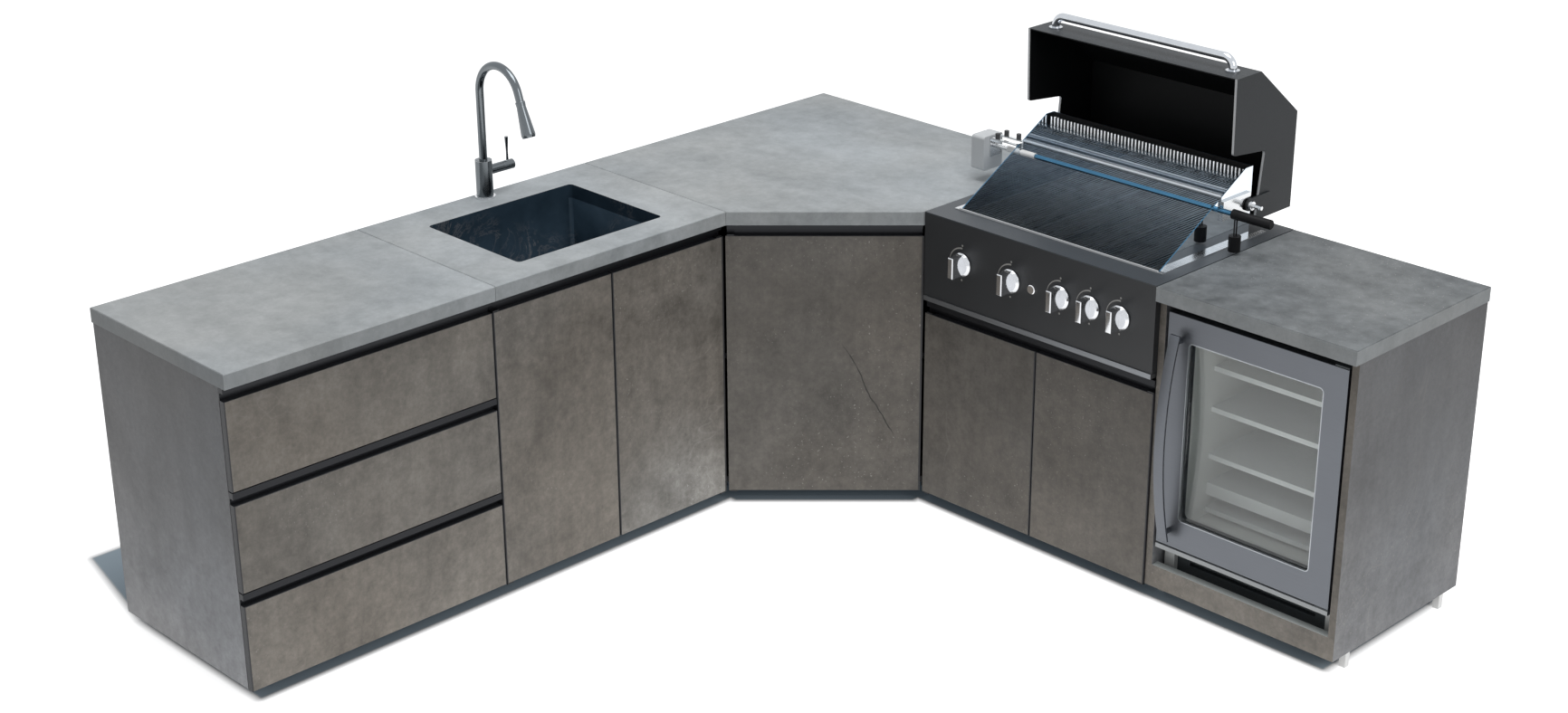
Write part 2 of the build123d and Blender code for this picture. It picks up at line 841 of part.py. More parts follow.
# Upper walls: two sloping side walls with a slot for the spit, and a back wall
wall_in = firebox_half_width - upper_wall
slope = (upper_wall_top - worktop_height) / (upper_wall_front - upper_wall_crest)
side_wall = prism_x(
    [
        (-upper_wall_front, worktop_height),
        (-upper_wall_crest, upper_wall_top),
        (-firebox_back, upper_wall_top),
        (-firebox_back, worktop_height),
    ],
    wall_in,
    firebox_half_width,
)
slot_half = spit_journal_radius + spit_slot_clearance
slot = Pos(0, -spit_from_back, spit_height) * along_x(slot_half, wall_in, firebox_half_width)
slot += block(
    wall_in,
    firebox_half_width,
    -spit_from_back - slot_half,
    -spit_from_back + slot_half,
    spit_height,
    upper_wall_top,
)
side_wall -= slot
shaft_hole = Pos(0, -hinge_from_back, hinge_height) * along_x(hinge_radius, wall_in, firebox_half_width)
side_wall -= shaft_hole
back_wall = block(
    -wall_in, wall_in, -firebox_back - upper_wall, -firebox_back, worktop_height, upper_wall_top
)
keep("grill_upper_walls", grill_middle, side_wall, mirror(side_wall, Plane.YZ), back_wall)

# Cooking grates: front-to-back bars on two cross bars, in separate sections
grate_span = 2 * inner_x / grate_sections
grate_y0, grate_y1 = inner_front + grate_gap, inner_back - grate_gap
grate_width = grate_span - 2 * grate_gap
bar_gaps = round((grate_width - grate_bar) / grate_pitch)
bar_step = (grate_width - grate_bar) / bar_gaps
for section_index in range(grate_sections):
    middle_x = -inner_x + (section_index + 0.5) * grate_span
    grate = Sketch()
    for row in GridLocations(bar_step, 1, bar_gaps + 1, 1):
        grate += row * Rectangle(grate_bar, grate_y1 - grate_y0)
    for end in (grate_y0 + grate_bar / 2, grate_y1 - grate_bar / 2):
        grate += Pos(0, end - (grate_y0 + grate_y1) / 2) * Rectangle(grate_width, grate_bar)
    place = Pos(middle_x, (grate_y0 + grate_y1) / 2, ledge_top)
    keep("cooking_grates", grill_middle, place * extrude(grate, grate_bar_height))

# Burners, each under a folded flame tamer, fed from a manifold behind the knobs
burner_pitch = 2 * inner_x / burner_count
manifold_y = -control_front + manifold_from_front
for index in range(burner_count):
    x = -inner_x + (index + 0.5) * burner_pitch
    tube = extrude(Plane.XZ * RegularPolygon(burner_radius, 6), inner_back - inner_front)
    keep("gas_burners", grill_middle, Pos(x, inner_back, burner_height) * tube)
    half, rise, sheet = tamer_half_width, tamer_rise, tamer_sheet
    tent = make_face(
        Polyline(
            (-half, 0),
            (0, rise),
            (half, 0),
            (half - sheet, 0),
            (0, rise - sheet),
            (sheet - half, 0),
            close=True,
        )
    )
    tent = extrude(Plane.XZ * tent, inner_back - inner_front)
    keep("flame_tamers", grill_middle, Pos(x, inner_back, tamer_height) * tent)
pipe = manifold_side / 2
manifold = block(-inner_half, inner_half, -pipe, pipe, -pipe, pipe)
stem_end = -control_front - knob_bore_depth + knob_gap - manifold_y
valve_half = valve_side / 2
for offset in knob_offsets:
    manifold += block(
        offset - valve_half, offset + valve_half, -pipe - valve_length, pipe, -valve_half, valve_half
    )
    manifold += Pos(offset, 0, 0) * along_y(stem_radius, stem_end, -pipe)
manifold = Pos(0, manifold_y, knob_height) * manifold
keep("gas_burners", grill_middle, manifold)

# Warming rack: a wire trough between the side walls
trough = make_face(
    Polyline(
        (-rack_front, rack_top),
        (-rack_front, rack_top - rack_depth),
        (-rack_back, rack_top - rack_depth),
        (-rack_back, rack_top),
        (-rack_back - rack_wire, rack_top),
        (-rack_back - rack_wire, rack_top - rack_depth + rack_wire),
        (-rack_front + rack_wire, rack_top - rack_depth + rack_wire),
        (-rack_front + rack_wire, rack_top),
        close=True,
    )
)
wire = Pos(-rack_wire / 2, 0, 0) * extrude(Plane.YZ * trough, rack_wire)
wires = int(2 * wall_in / rack_pitch) - 1
rack = Part()
for place in GridLocations(rack_pitch, 1, wires, 1):
    rack += place * wire
rail_top = rack_top - rack_depth
for y in (-rack_front + rack_wire, -rack_back - 2 * rack_wire):
    rack += block(-wall_in, wall_in, y, y + rack_wire, rail_top - rack_wire, rail_top)
keep("warming_rack", grill_middle, rack)

# Lid, drawn closed and turned back about its hinge shaft
lid_outline = [
    (-lid_front, lid_rim),
    (-lid_front, lid_front_top),
    (-lid_slope_end, lid_top),
    (-lid_back, lid_top),
    (-lid_back, lid_back_rim),
    (-lid_step_back, lid_step_top),
    (-lid_step_front, lid_step_rim),
]
lid = prism_x(lid_outline, -lid_half_width, lid_half_width, lid_outline[-2:], lid_step_round)
slope_angle = math.atan2(lid_top - lid_front_top, lid_front - lid_slope_end)
top_shift = lid_sheet * math.tan((math.pi / 2 - slope_angle) / 2)
knee_shift = lid_sheet * math.tan(slope_angle / 2)
hollow = [
    (-lid_front + lid_sheet, lid_rim - lid_sheet),
    (-lid_front + lid_sheet, lid_front_top - top_shift),
    (-lid_slope_end + knee_shift, lid_top - lid_sheet),
    (-lid_back - lid_sheet, lid_top - lid_sheet),
    (-lid_back - lid_sheet, lid_rim - lid_sheet),
]
lid -= prism_x(hollow, -lid_half_width + lid_side, lid_half_width - lid_side)
hinge_line = Pos(0, -hinge_from_back, hinge_height)
arm_plan = Circle(hinge_boss_radius) + Pos(0, hinge_arm_reach) * Circle(hinge_boss_radius)
arm_plan = make_hull(arm_plan.edges())
arm_plan -= Circle(hinge_radius + hinge_clearance)
arm = Pos(lid_half_width, 0, 0) * hinge_line * extrude(Plane.YZ * arm_plan, hinge_arm)
lid += arm
lid += mirror(arm, Plane.YZ)
lid_turn = hinge_line * Rot(-lid_open_angle, 0, 0) * hinge_line.inverse()
keep("grill_lid", grill_middle * lid_turn, lid)

# Lid handle on the front face, which lies on top while the lid is open
grip_z = (lid_rim + lid_front_top) / 2
grip_y = -lid_front - handle_stand
straight = handle_half_span - handle_bend
inset = handle_bend * (1 - math.sqrt(0.5))
handle_path = Wire(
    [
        Edge.make_line((-handle_half_span, -lid_front, 0), (-handle_half_span, grip_y + handle_bend, 0)),
        Edge.make_three_point_arc(
            (-handle_half_span, grip_y + handle_bend, 0),
            (-handle_half_span + inset, grip_y + inset, 0),
            (-straight, grip_y, 0),
        ),
        Edge.make_line((-straight, grip_y, 0), (straight, grip_y, 0)),
        Edge.make_three_point_arc(
            (straight, grip_y, 0),
            (handle_half_span - inset, grip_y + inset, 0),
            (handle_half_span, grip_y + handle_bend, 0),
        ),
        Edge.make_line((handle_half_span, grip_y + handle_bend, 0), (handle_half_span, -lid_front, 0)),
    ]
)
handle_section = Plane(origin=(-handle_half_span, -lid_front, 0), z_dir=(0, -1, 0)) * Circle(handle_radius)
handle = sweep(handle_section, path=handle_path)
for end in (-handle_half_span, handle_half_span):
    handle += Pos(end, 0, 0) * along_y(handle_flange_radius, -lid_front - handle_flange_height, -lid_front)
keep("lid_handle", grill_middle * lid_turn * Pos(0, 0, grip_z), handle)

# Hinge shaft through both side walls, with a nut and a stepped tip outside each lid arm
arm_out = lid_half_width + hinge_arm + hinge_nut_gap
nut_out = arm_out + hinge_nut_length
tip_out = nut_out + hinge_tip_length
shaft = along_x(hinge_radius, -arm_out, arm_out)
for way in (1, -1):
    nut = along_x(hinge_nut_radius, arm_out, nut_out) + along_x(hinge_tip_radius, nut_out, tip_out)
    shaft += nut if way > 0 else mirror(nut, Plane.YZ)
keep("lid_hinge_shaft", grill_middle * hinge_line, shaft)

# Rotisserie: a bracket and motor on the left, a bearing plate on the right, spit with grip and weight
spit_line = Pos(0, -spit_from_back, spit_height)
plate_x1 = firebox_half_width + hinge_plate_sheet
hinge_rear = spit_from_back - hinge_from_back
hinge_drop = spit_height - hinge_height
bearing = block(
    firebox_half_width,
    plate_x1,
    hinge_plate_start,
    hinge_rear + hinge_plate_margin,
    -bracket_foot,
    -hinge_drop + bracket_foot,
)
bearing -= along_x(slot_half, firebox_half_width, plate_x1)
bearing -= block(firebox_half_width, plate_x1, 0, slot_half, 0, -hinge_drop + bracket_foot)
bearing -= Pos(0, hinge_rear, -hinge_drop) * along_x(hinge_radius, firebox_half_width, plate_x1)
motor_right = -firebox_half_width - motor_gap
wall_plate = -firebox_half_width - bracket_sheet
motor_plate = motor_right + bracket_sheet
strip_low = bracket_rise - bracket_sheet
bracket = block(wall_plate, -firebox_half_width, -bracket_front, bracket_rear, -bracket_foot, bracket_rise)
bracket += block(motor_right, motor_plate, -bracket_front, bracket_rear, -bracket_foot, bracket_rise)
for y0 in (-bracket_front, bracket_rear - bracket_strip):
    bracket += block(motor_right, wall_plate, y0, y0 + bracket_strip, strip_low, bracket_rise)
bracket -= along_x(slot_half, motor_right, -firebox_half_width)
front_strip = -bracket_front + bracket_strip / 2
rear_strip = bracket_rear - bracket_strip / 2
screw_places = [
    (motor_right + thumb_screw_inset, front_strip),
    (motor_right + thumb_screw_inset, rear_strip),
    (wall_plate - thumb_screw_inset, rear_strip),
]
screw = upright(thumb_screw_radius, bracket_rise, bracket_rise + thumb_screw_height)
screws = [Pos(x, y, 0) * screw for x, y in screw_places]
keep("spit_brackets", grill_middle * spit_line, bearing, bracket, *screws)
motor = block(
    motor_right - motor_width, motor_right, -motor_depth / 2, motor_depth / 2, -motor_drop, motor_rise
)
motor = fillet(motor.edges().filter_by(Axis.X), motor_corner)
motor -= along_x(spit_journal_radius + spit_fit, motor_right - spit_socket_depth, motor_right)
keep("spit_motor", grill_middle * spit_line, motor)
journal_left = motor_right - spit_socket_depth + motor_corner
bar_half = wall_in - 2 * spit_side
spit = Rot(45, 0, 0) * Pos(-bar_half, 0, 0) * extrude(
    Plane.YZ * Rectangle(spit_side, spit_side), 2 * bar_half
)
spit += along_x(spit_journal_radius, journal_left, -bar_half)
spit += along_x(spit_journal_radius, bar_half, collar_start)
keep("spit_rod", grill_middle * spit_line, spit)
collar_end = collar_start + collar_length
grip_end = collar_end + grip_length
grip = along_x(collar_radius, collar_start, collar_end)
grip += along_x(grip_radius, collar_end, grip_end)
grip = chamfer(grip.edges().group_by(Axis.X)[-1], grip_end_bevel)
weight_x = (collar_start + collar_end) / 2
weight_top = -weight_drop + weight_height
keep("spit_grip", grill_middle * spit_line, grip)
weight = Pos(weight_x, 0, 0) * upright(weight_radius, -weight_drop, weight_top)
for way in (-1, 1):
    weight += Pos(weight_x, way * weight_rod_spread, 0) * upright(weight_rod_radius, weight_top, 0)
weight -= along_x(collar_radius, collar_start, collar_end)
keep("spit_counterweight", grill_middle * spit_line, weight)

# Knobs: a bevelled round base with an upright finger bar across it, on the valve stems
knob_back = -control_front - knob_gap
for index, offset in enumerate(knob_offsets):
    base = turned(
        [
            (0, 0),
            (knob_radius, 0),
            (knob_radius, knob_rim),
            (knob_hub_radius, knob_base),
            (0, knob_base),
        ]
    )
    half_bar, half_length = knob_bar_width / 2, knob_bar_length / 2
    bar = block(-half_bar, half_bar, -half_length, half_length, knob_rim, knob_reach)
    bar = chamfer(bar.faces().sort_by(Axis.Z)[-1].edges(), knob_bar_chamfer)
    knob = base + bar
    knob -= upright(stem_radius + knob_fit, 0, knob_bore_depth)
    knob_place = Pos(offset, knob_back, knob_height) * Rot(90, 0, 0)
    keep(f"knob_{index + 1}", grill_middle * knob_place, knob)

# Igniter: a sprung push button guided in the control panel
button = along_y(igniter_radius, -control_front - igniter_stand, -control_front + igniter_length)
button = chamfer(button.edges().group_by(Axis.Y)[0], igniter_bezel / 2)
keep("igniter_button", grill_middle * Pos(igniter_offset, 0, igniter_height), button)

# Fridge unit: the fridge stands between two panels under its own worktop
fridge_end = fridge_unit_width - end_panel_setback
bay_left = end_panel_thickness
bay_right = fridge_end - end_panel_thickness
keep("worktop_fridge", fridge_place, worktop(half_joint, fridge_unit_width))
left_bay = block(0, bay_left, -bay_panel_front, 0, front_bottom, worktop_under)
right_bay = block(bay_right, fridge_end, -bay_panel_front, 0, front_bottom, worktop_under)
keep("fridge_side_panels", fridge_place, left_bay, right_bay)
base = block(
    bay_left, bay_right, -bay_panel_front, -bay_panel_front + base_panel_thickness, front_bottom, base_panel_top
)
keep("fridge_base_panel", fridge_place, base)

fridge_mid = (bay_left + bay_right) / 2
fridge_middle = fridge_place * Pos(fridge_mid, 0, 0)
half_fridge = fridge_width / 2
door_rear = -fridge_door_front + fridge_door_thickness
cabinet_front = door_rear + fridge_seal_gap
inside = half_fridge - fridge_wall
floor_high = fridge_floor + fridge_wall
ceiling = fridge_top - fridge_wall
cabinet = [
    block(-half_fridge, -inside, cabinet_front, -fridge_back, fridge_base, fridge_top),
    block(inside, half_fridge, cabinet_front, -fridge_back, fridge_base, fridge_top),
    block(-inside, inside, cabinet_front, -fridge_back, ceiling, fridge_top),
    block(-inside, inside, cabinet_front, -fridge_back, fridge_floor, floor_high),
    block(-inside, inside, -fridge_back - fridge_wall, -fridge_back, floor_high, ceiling),
    block(-inside, inside, cabinet_front + plinth_setback, -fridge_back, fridge_base, fridge_floor),
]
keep("fridge_cabinet", fridge_middle, *cabinet)
for side in (-1, 1):
    x = side * (half_fridge - fixing_from_side)
    y = (cabinet_front - fridge_back) / 2
    half = fixing_block / 2
    fixing = block(x - half, x + half, y - half, y + half, fridge_top, worktop_under)
    keep("fridge_cabinet", fridge_middle, fixing)
slat_pitch = (fridge_floor - base_panel_top) / vent_slats
vent = block(
    -inside, inside, cabinet_front + plinth_setback / 2, cabinet_front + plinth_setback, fridge_base, fridge_floor
)
for index in range(vent_slats):
    z = base_panel_top + (index + 0.5) * slat_pitch
    vent -= block(
        -inside + vent_margin,
        inside - vent_margin,
        cabinet_front + plinth_setback / 2,
        cabinet_front + plinth_setback,
        z - slat_pitch / 2 + vent_slat_height,
        z + slat_pitch / 2,
    )
keep("fridge_cabinet", fridge_middle, vent)

shelf_front_y = cabinet_front + shelf_setback
shelf_back_y = -fridge_back - fridge_wall
shelf_trim_rear = shelf_front_y + shelf_trim_depth
shelves = []
for z in shelf_heights:
    z_high = z + shelf_trim_height
    trim_bar = block(-inside, inside, shelf_front_y, shelf_trim_rear, z, z_high)
    sheet = block(-inside, inside, shelf_trim_rear, shelf_back_y, z_high - shelf_sheet, z_high)
    shelves.append(trim_bar + sheet)
crisper_top = crisper_bottom + crisper_height
crisper = block(-inside, inside, shelf_front_y, shelf_front_y + shelf_sheet, crisper_bottom, crisper_top)
crisper_lid = block(
    -inside, inside, shelf_front_y + shelf_sheet, shelf_back_y, crisper_top - shelf_sheet, crisper_top
)
keep("fridge_shelves", fridge_middle, *shelves, crisper + crisper_lid)

# Fridge door: a framed window with a bowed bar handle, on pins at its right end
door_top = fridge_top
frame = block(-half_fridge, half_fridge, -fridge_door_front, door_rear, fridge_door_bottom, door_top)
frame = chamfer(frame.faces().sort_by(Axis.Y)[0].edges(), front_chamfer)
window_w = fridge_width - 2 * window_side
window_h = door_top - fridge_door_bottom - window_top - window_bottom
window_z = fridge_door_bottom + window_bottom + window_h / 2
window = fillet(Rectangle(window_w, window_h).vertices(), window_corner)
window_place = Pos(0, door_rear, window_z)
frame -= window_place * extrude(Plane.XZ * window, fridge_door_thickness)
fridge_pivot_x = half_fridge - fridge_pivot_inset
fridge_pivot_y = -fridge_door_front + fridge_pivot_inset
fridge_pivot = Pos(fridge_pivot_x, fridge_pivot_y, 0)
pin_hole = fridge_pivot_radius + pivot_clearance
frame -= fridge_pivot * upright(pin_hole, fridge_door_bottom, fridge_door_bottom + fridge_pivot_depth)
frame -= fridge_pivot * upright(pin_hole, door_top - fridge_pivot_depth, door_top)
keep("fridge_door", fridge_middle, frame)
glass_rear = -fridge_door_front + glass_setback + glass_thickness
pane = Pos(0, glass_rear, window_z) * extrude(Plane.XZ * window, glass_thickness)
keep("fridge_glass", fridge_middle, pane)

bar_low = fridge_door_bottom + fridge_handle_bottom
bar_high = door_top - fridge_handle_top
bar_mid = (bar_low + bar_high) / 2
stand = -fridge_door_front - fridge_handle_stand
outer = stand - fridge_handle_sheet
bow = fridge_handle_bow
bar_outline = make_face(
    Curve()
    + ThreePointArc((stand, bar_low), (stand - bow, bar_mid), (stand, bar_high))
    + Line((stand, bar_high), (outer, bar_high))
    + ThreePointArc((outer, bar_high), (outer - bow, bar_mid), (outer, bar_low))
    + Line((outer, bar_low), (stand, bar_low))
)
handle_x = -half_fridge + fridge_handle_inset
bar_x = handle_x - fridge_handle_width / 2
fridge_handle = Pos(bar_x, 0, 0) * extrude(Plane.YZ * bar_outline, fridge_handle_width)
post_rise = bow * (1 - (1 - fridge_post_inset / (bar_mid - bar_low)) ** 2)
for z in (bar_low + fridge_post_inset, bar_high - fridge_post_inset):
    post = along_y(fridge_post_radius, stand - post_rise - fridge_handle_sheet / 2, -fridge_door_front)
    fridge_handle += Pos(handle_x, 0, z) * post
keep("fridge_handle", fridge_middle, fridge_handle)

# Fridge hinges: a plate over and a plate under the door, each with a pin
hinge_x0 = fridge_pivot_x + fridge_pivot_inset - fridge_hinge_width
hinge_tongue = -fridge_door_front + fridge_hinge_gap
pin_reach = fridge_pivot_depth - fridge_hinge_gap
plate_low = door_top + fridge_hinge_gap
upper_hinge = block(
    hinge_x0, half_fridge, hinge_tongue, cabinet_front, plate_low, plate_low + fridge_hinge_plate
)
upper_hinge += block(
    hinge_x0, half_fridge, cabinet_front, cabinet_front + fridge_hinge_width, door_top, plate_low + fridge_hinge_plate
)
upper_hinge += fridge_pivot * upright(fridge_pivot_radius, door_top - pin_reach, plate_low)
plate_high = fridge_door_bottom - fridge_hinge_gap
lower_hinge = block(
    hinge_x0, half_fridge, hinge_tongue, cabinet_front, plate_high - fridge_hinge_plate, plate_high
)
lower_hinge += fridge_pivot * upright(fridge_pivot_radius, plate_high, fridge_door_bottom + pin_reach)
keep("fridge_cabinet", fridge_middle, upper_hinge, lower_hinge)
sill_top = plate_high - fridge_hinge_plate
sill = block(-half_fridge, half_fridge, -fridge_door_front, cabinet_front, sill_top - fridge_sill, sill_top)
keep("fridge_cabinet", fridge_middle, sill)

# Levelling feet under every cabinet, the fridge and the free panel
for place, x0, x1 in (
    (drawer_place, body_left, drawer_unit_width),
    (sink_place, 0, sink_unit_width),
    (grill_place, 0, grill_unit_width),
):
    for x in (x0 + foot_inset, x1 - foot_inset):
        for y in (carcass_front + foot_inset, -back_setback - foot_inset):
            keep("levelling_feet", place * Pos(x, y, 0), foot(carcass_bottom))
corner_feet = [
    (back_setback + foot_inset, -back_setback - foot_inset),
    (corner_leg - foot_inset, -back_setback - foot_inset),
    (back_setback + foot_inset, -corner_leg + foot_inset),
    (corner_leg - foot_inset, -side_front + foot_inset),
    (side_front - foot_inset, -corner_leg + foot_inset),
]
for x, y in corner_feet:
    keep("levelling_feet", corner_place * Pos(x, y, 0), foot(carcass_bottom))
for x in (-half_fridge + foot_inset, half_fridge - foot_inset):
    for y in (cabinet_front + plinth_setback + foot_inset, -fridge_back - foot_inset):
        pad = extrude(RegularPolygon(foot_pad_radius, 8), fridge_base)
        keep("levelling_feet", fridge_middle * Pos(x, y, 0), pad)
for x in (bay_left / 2, (bay_right + fridge_end) / 2):
    for y in (-bay_panel_front + foot_inset, -foot_inset):
        half = panel_foot / 2
        pad = block(-half, half, -half, half, 0, front_bottom)
        keep("levelling_feet", fridge_place * Pos(x, y, 0), pad)

os.makedirs("parts", exist_ok=True)
for name, solids in nodes.items():
    bodies = [body for solid in solids for body in solid.solids()]
    export_step(Compound(children=bodies), f"parts/{name}.step")
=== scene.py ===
"""Looks of an L-shaped outdoor kitchen: stone, metal and glass finishes, wires, dial marks and stage."""

import json
import math

import bmesh
import bpy
from bpy.props import FloatProperty, FloatVectorProperty, IntProperty, PointerProperty
from bpy.types import Operator, Panel, PropertyGroup
from mathutils import Matrix, Vector


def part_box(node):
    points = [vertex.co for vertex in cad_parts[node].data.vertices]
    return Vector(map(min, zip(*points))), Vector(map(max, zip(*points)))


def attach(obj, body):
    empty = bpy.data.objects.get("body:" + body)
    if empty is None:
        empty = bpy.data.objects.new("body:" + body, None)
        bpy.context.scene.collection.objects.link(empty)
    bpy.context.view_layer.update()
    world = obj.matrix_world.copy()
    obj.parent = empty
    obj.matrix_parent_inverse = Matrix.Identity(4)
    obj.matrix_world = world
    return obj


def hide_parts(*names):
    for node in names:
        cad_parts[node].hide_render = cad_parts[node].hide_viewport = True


bl_info = {
    "name": "Outdoor kitchen looks",
    "version": (1, 0, 0),
    "blender": (4, 5, 0),
    "location": "3D View > Sidebar > Kitchen",
    "description": "Finishes and small pieces for a modular outdoor kitchen",
    "category": "Object",
}

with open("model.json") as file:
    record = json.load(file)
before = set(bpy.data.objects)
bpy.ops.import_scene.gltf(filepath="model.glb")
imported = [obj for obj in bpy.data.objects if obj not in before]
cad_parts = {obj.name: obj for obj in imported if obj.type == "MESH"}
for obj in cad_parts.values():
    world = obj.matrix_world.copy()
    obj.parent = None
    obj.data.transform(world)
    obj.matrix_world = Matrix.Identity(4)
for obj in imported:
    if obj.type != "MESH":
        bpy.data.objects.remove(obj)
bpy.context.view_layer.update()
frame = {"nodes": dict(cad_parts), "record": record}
NODES = frame["nodes"]

# Places from the frame, in metres; the back edges of the two wings meet at CORNER
CORNER_LOW, CORNER_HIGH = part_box("worktop_corner")
CORNER = Vector((CORNER_LOW.x, CORNER_HIGH.y, 0))
PANEL_LOW, PANEL_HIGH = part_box("control_panel")
GRILL_MID = (PANEL_LOW.x + PANEL_HIGH.x) / 2
WALL_LOW, WALL_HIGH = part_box("grill_upper_walls")
RIM_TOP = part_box("grill_rim")[1].z
KNOBS = [f"knob_{index}" for index in range(1, 6)]

# How light each front, worktop, worktop edge and end panel is beside the colours of its slab; beyond the
# slabs' own differences the tones paint shade: the diagonal door and the grill doors darker for the inner
# corner's shade, the lower drawers darker against the floor's bounce light, and the right end panel darker
# against the stronger light on it
FRONTS = {
    "drawer_front_top": 0.85,
    "drawer_front_middle": 0.82,
    "drawer_front_bottom": 0.79,
    "sink_door_left": 0.72,
    "sink_door_right": 0.71,
    "corner_door": 0.50,
    "grill_door_left": 0.48,
    "grill_door_right": 0.54,
    "fridge_base_panel": 0.76,
}
TOPS = {"worktop_drawers": 0.99, "worktop_sink": 1.0, "worktop_corner": 0.96, "worktop_fridge": 1.0}
TOP_EDGES = {"worktop_drawers": 0.98, "worktop_sink": 0.98, "worktop_corner": 0.97, "worktop_fridge": 1.0}
ENDS = {"end_panel_left": 0.98, "fridge_side_panels": 0.71}
# Number of the first cut of stone for the worktops, the fronts and the end panels
TOP_CUT, FRONT_CUT, END_CUT = 0, 4, 14
# Heights between which the end panels darken upwards, and how dark they become; this is painted shade that
# stands for the light the floor throws on their lower parts
UPWARD_SHADE_HEIGHTS = 0.25, 0.85
END_UPWARD_SHADE = 0.70
# Ends of the dark hairline on the diagonal door, each as a place along the door and a height
SCAR = (0.049, 0.508), (0.205, 0.200)
SCAR_COLOUR = 0.008, 0.007, 0.006
# A painted highlight, a pale patch of light on the right sink door, is centred this far inside the door's
# edge and below its foot
HIGHLIGHT_INSET = 0.10
HIGHLIGHT_REACH = 0.42
HIGHLIGHT_GAIN = 2.05, 2.18, 2.34
# Width of the dark band on a front beside a joint
JOINT_BAND = 0.003
# Feet this near the outer sides of the fridge's panels have white glides
GLIDE_REACH = 0.035
# The painted shadow on the floor starts this far inside the worktops' edges
FLOOR_INSET = 0.045
# Behind the left wing the painted shadow reaches this far out and leans towards the corner by this slope
SHADOW_REACH = 0.405
SHADOW_LEAN = 0.217
# Half the side of the floor
FLOOR_HALF = 30.0
# Faces that meet at more than this angle keep a sharp edge between them
SHARP_ANGLE = math.radians(30)
# Part of a normal along an axis from which a face leans that way, looks that way or lies square to it
LEANS, LOOKS, SQUARE = 0.2, 0.5, 0.98
# The camera's place from CORNER, its azimuth, elevation and roll in degrees, and its lens
CAMERA_PLACE = Vector((5.30697, -5.34529, 3.18204))
CAMERA_ANGLES = 45.0614, 22.8706, -0.0226
CAMERA_LENS = {"sensor_width": 36.0, "lens": 56.83, "shift_x": -0.0182, "shift_y": -0.0020, "clip_end": 100.0}
# Place, aim, side and power of each lamp
SOFTBOXES = {
    "top_softbox": ((0.3, 0.2, 5.2), (0.1, 0, 0.6), 3.0, 125),
    "side_softbox": ((5.2, 0.2, 3.4), (0, 0, 0.5), 2.5, 60),
}
WIRE_TREE = "row_of_wires"
# Every finish by its key, filled by the first operator
FINISH = {}


def colour_property(label, words, default):
    """A colour that a user can change in the sidebar."""
    return FloatVectorProperty(
        name=label, description=words, subtype="COLOR", size=3, min=0, max=1, default=default
    )


def length_property(label, words, default):
    """A length in metres that a user can change in the sidebar."""
    return FloatProperty(name=label, description=words, unit="LENGTH", min=0, default=default, precision=4)


class KitchenStone(PropertyGroup):
    """Colours of the stone-look panels."""

    top_dark: colour_property("Worktop dark", "Darker clouds of the worktops", (0.285, 0.304, 0.314))
    top_light: colour_property("Worktop light", "Lighter clouds of the worktops", (0.490, 0.516, 0.530))
    front_dark: colour_property("Front dark", "Darker clouds of the fronts", (0.138, 0.124, 0.106))
    front_light: colour_property("Front light", "Lighter clouds of the fronts", (0.362, 0.330, 0.292))
    side_dark: colour_property("Side dark", "Darker clouds of the end panels", (0.190, 0.191, 0.199))
    side_light: colour_property("Side light", "Lighter clouds of the end panels", (0.424, 0.427, 0.443))
    # The fridge's worktop is a darker slab, darker still by painted shade from the grill's lid
    far_dark_with_shade: colour_property("Far dark", "Darker clouds of the fridge's worktop", (0.070, 0.078, 0.083))
    far_light_with_shade: colour_property("Far light", "Lighter clouds of the fridge's worktop", (0.246, 0.264, 0.275))
    end_edge: colour_property("End edge", "Edge band of the left end panel", (0.095, 0.098, 0.108))
    front_edge: colour_property("Front edge", "Edge band of the drawers and doors", (0.014, 0.015, 0.018))


class KitchenMetal(PropertyGroup):
    """Colours of the metal finishes."""

    anthracite: colour_property("Anthracite", "Powder coat of the grill", (0.0186, 0.0203, 0.0230))
    lid: colour_property("Lid", "Powder coat outside the lid", (0.030, 0.0335, 0.037))
    rail: colour_property("Rail", "Black anodised handle rails", (0.012, 0.013, 0.016))
    steel: colour_property("Steel", "Brushed stainless steel", (0.56, 0.57, 0.58))
    chrome: colour_property("Chrome", "Polished chrome", (0.80, 0.80, 0.81))
    tap: colour_property("Tap", "Brushed steel of the tap", (0.155, 0.170, 0.181))
    fridge: colour_property("Fridge", "Satin steel of the fridge door", (0.135, 0.143, 0.158))


class KitchenWire(PropertyGroup):
    """Sizes of the grates and of the warming rack."""

    grate_sections: IntProperty(name="Grate sections", description="Grates side by side", min=1, default=3)
    grate_pitch: length_property("Grate pitch", "Distance between the grate's bars", 0.0107)
    grate_radius: length_property("Grate bar", "Radius of a grate bar", 0.0022)
    rack_pitch: length_property("Rack pitch", "Distance between the rack's wires", 0.012)
    rack_radius: length_property("Rack wire", "Radius of a rack wire", 0.0014)
    rack_upright: length_property("Rack upright", "Radius of the uprights of the rack", 0.0036)


class KitchenPrint(PropertyGroup):
    """Sizes of the marks round the knobs."""

    arc_radius: length_property("Arc radius", "Radius of the arc beside a knob", 0.0455)
    arc_width: length_property("Arc width", "Widest part of the arc", 0.0045)
    tick_size: length_property("Tick size", "Width of the marks above and below a knob", 0.006)
    lift: length_property("Lift", "How far the marks stand off the panel", 0.0002)


def is_socket(value):
    """Tell a node's socket from a plain value."""
    return hasattr(value, "is_linked")


def feed(tree, node, values):
    """Link or set a node's inputs, given by name or number."""
    for key, value in values.items():
        if is_socket(value):
            tree.links.new(value, node.inputs[key])
        else:
            node.inputs[key].default_value = value


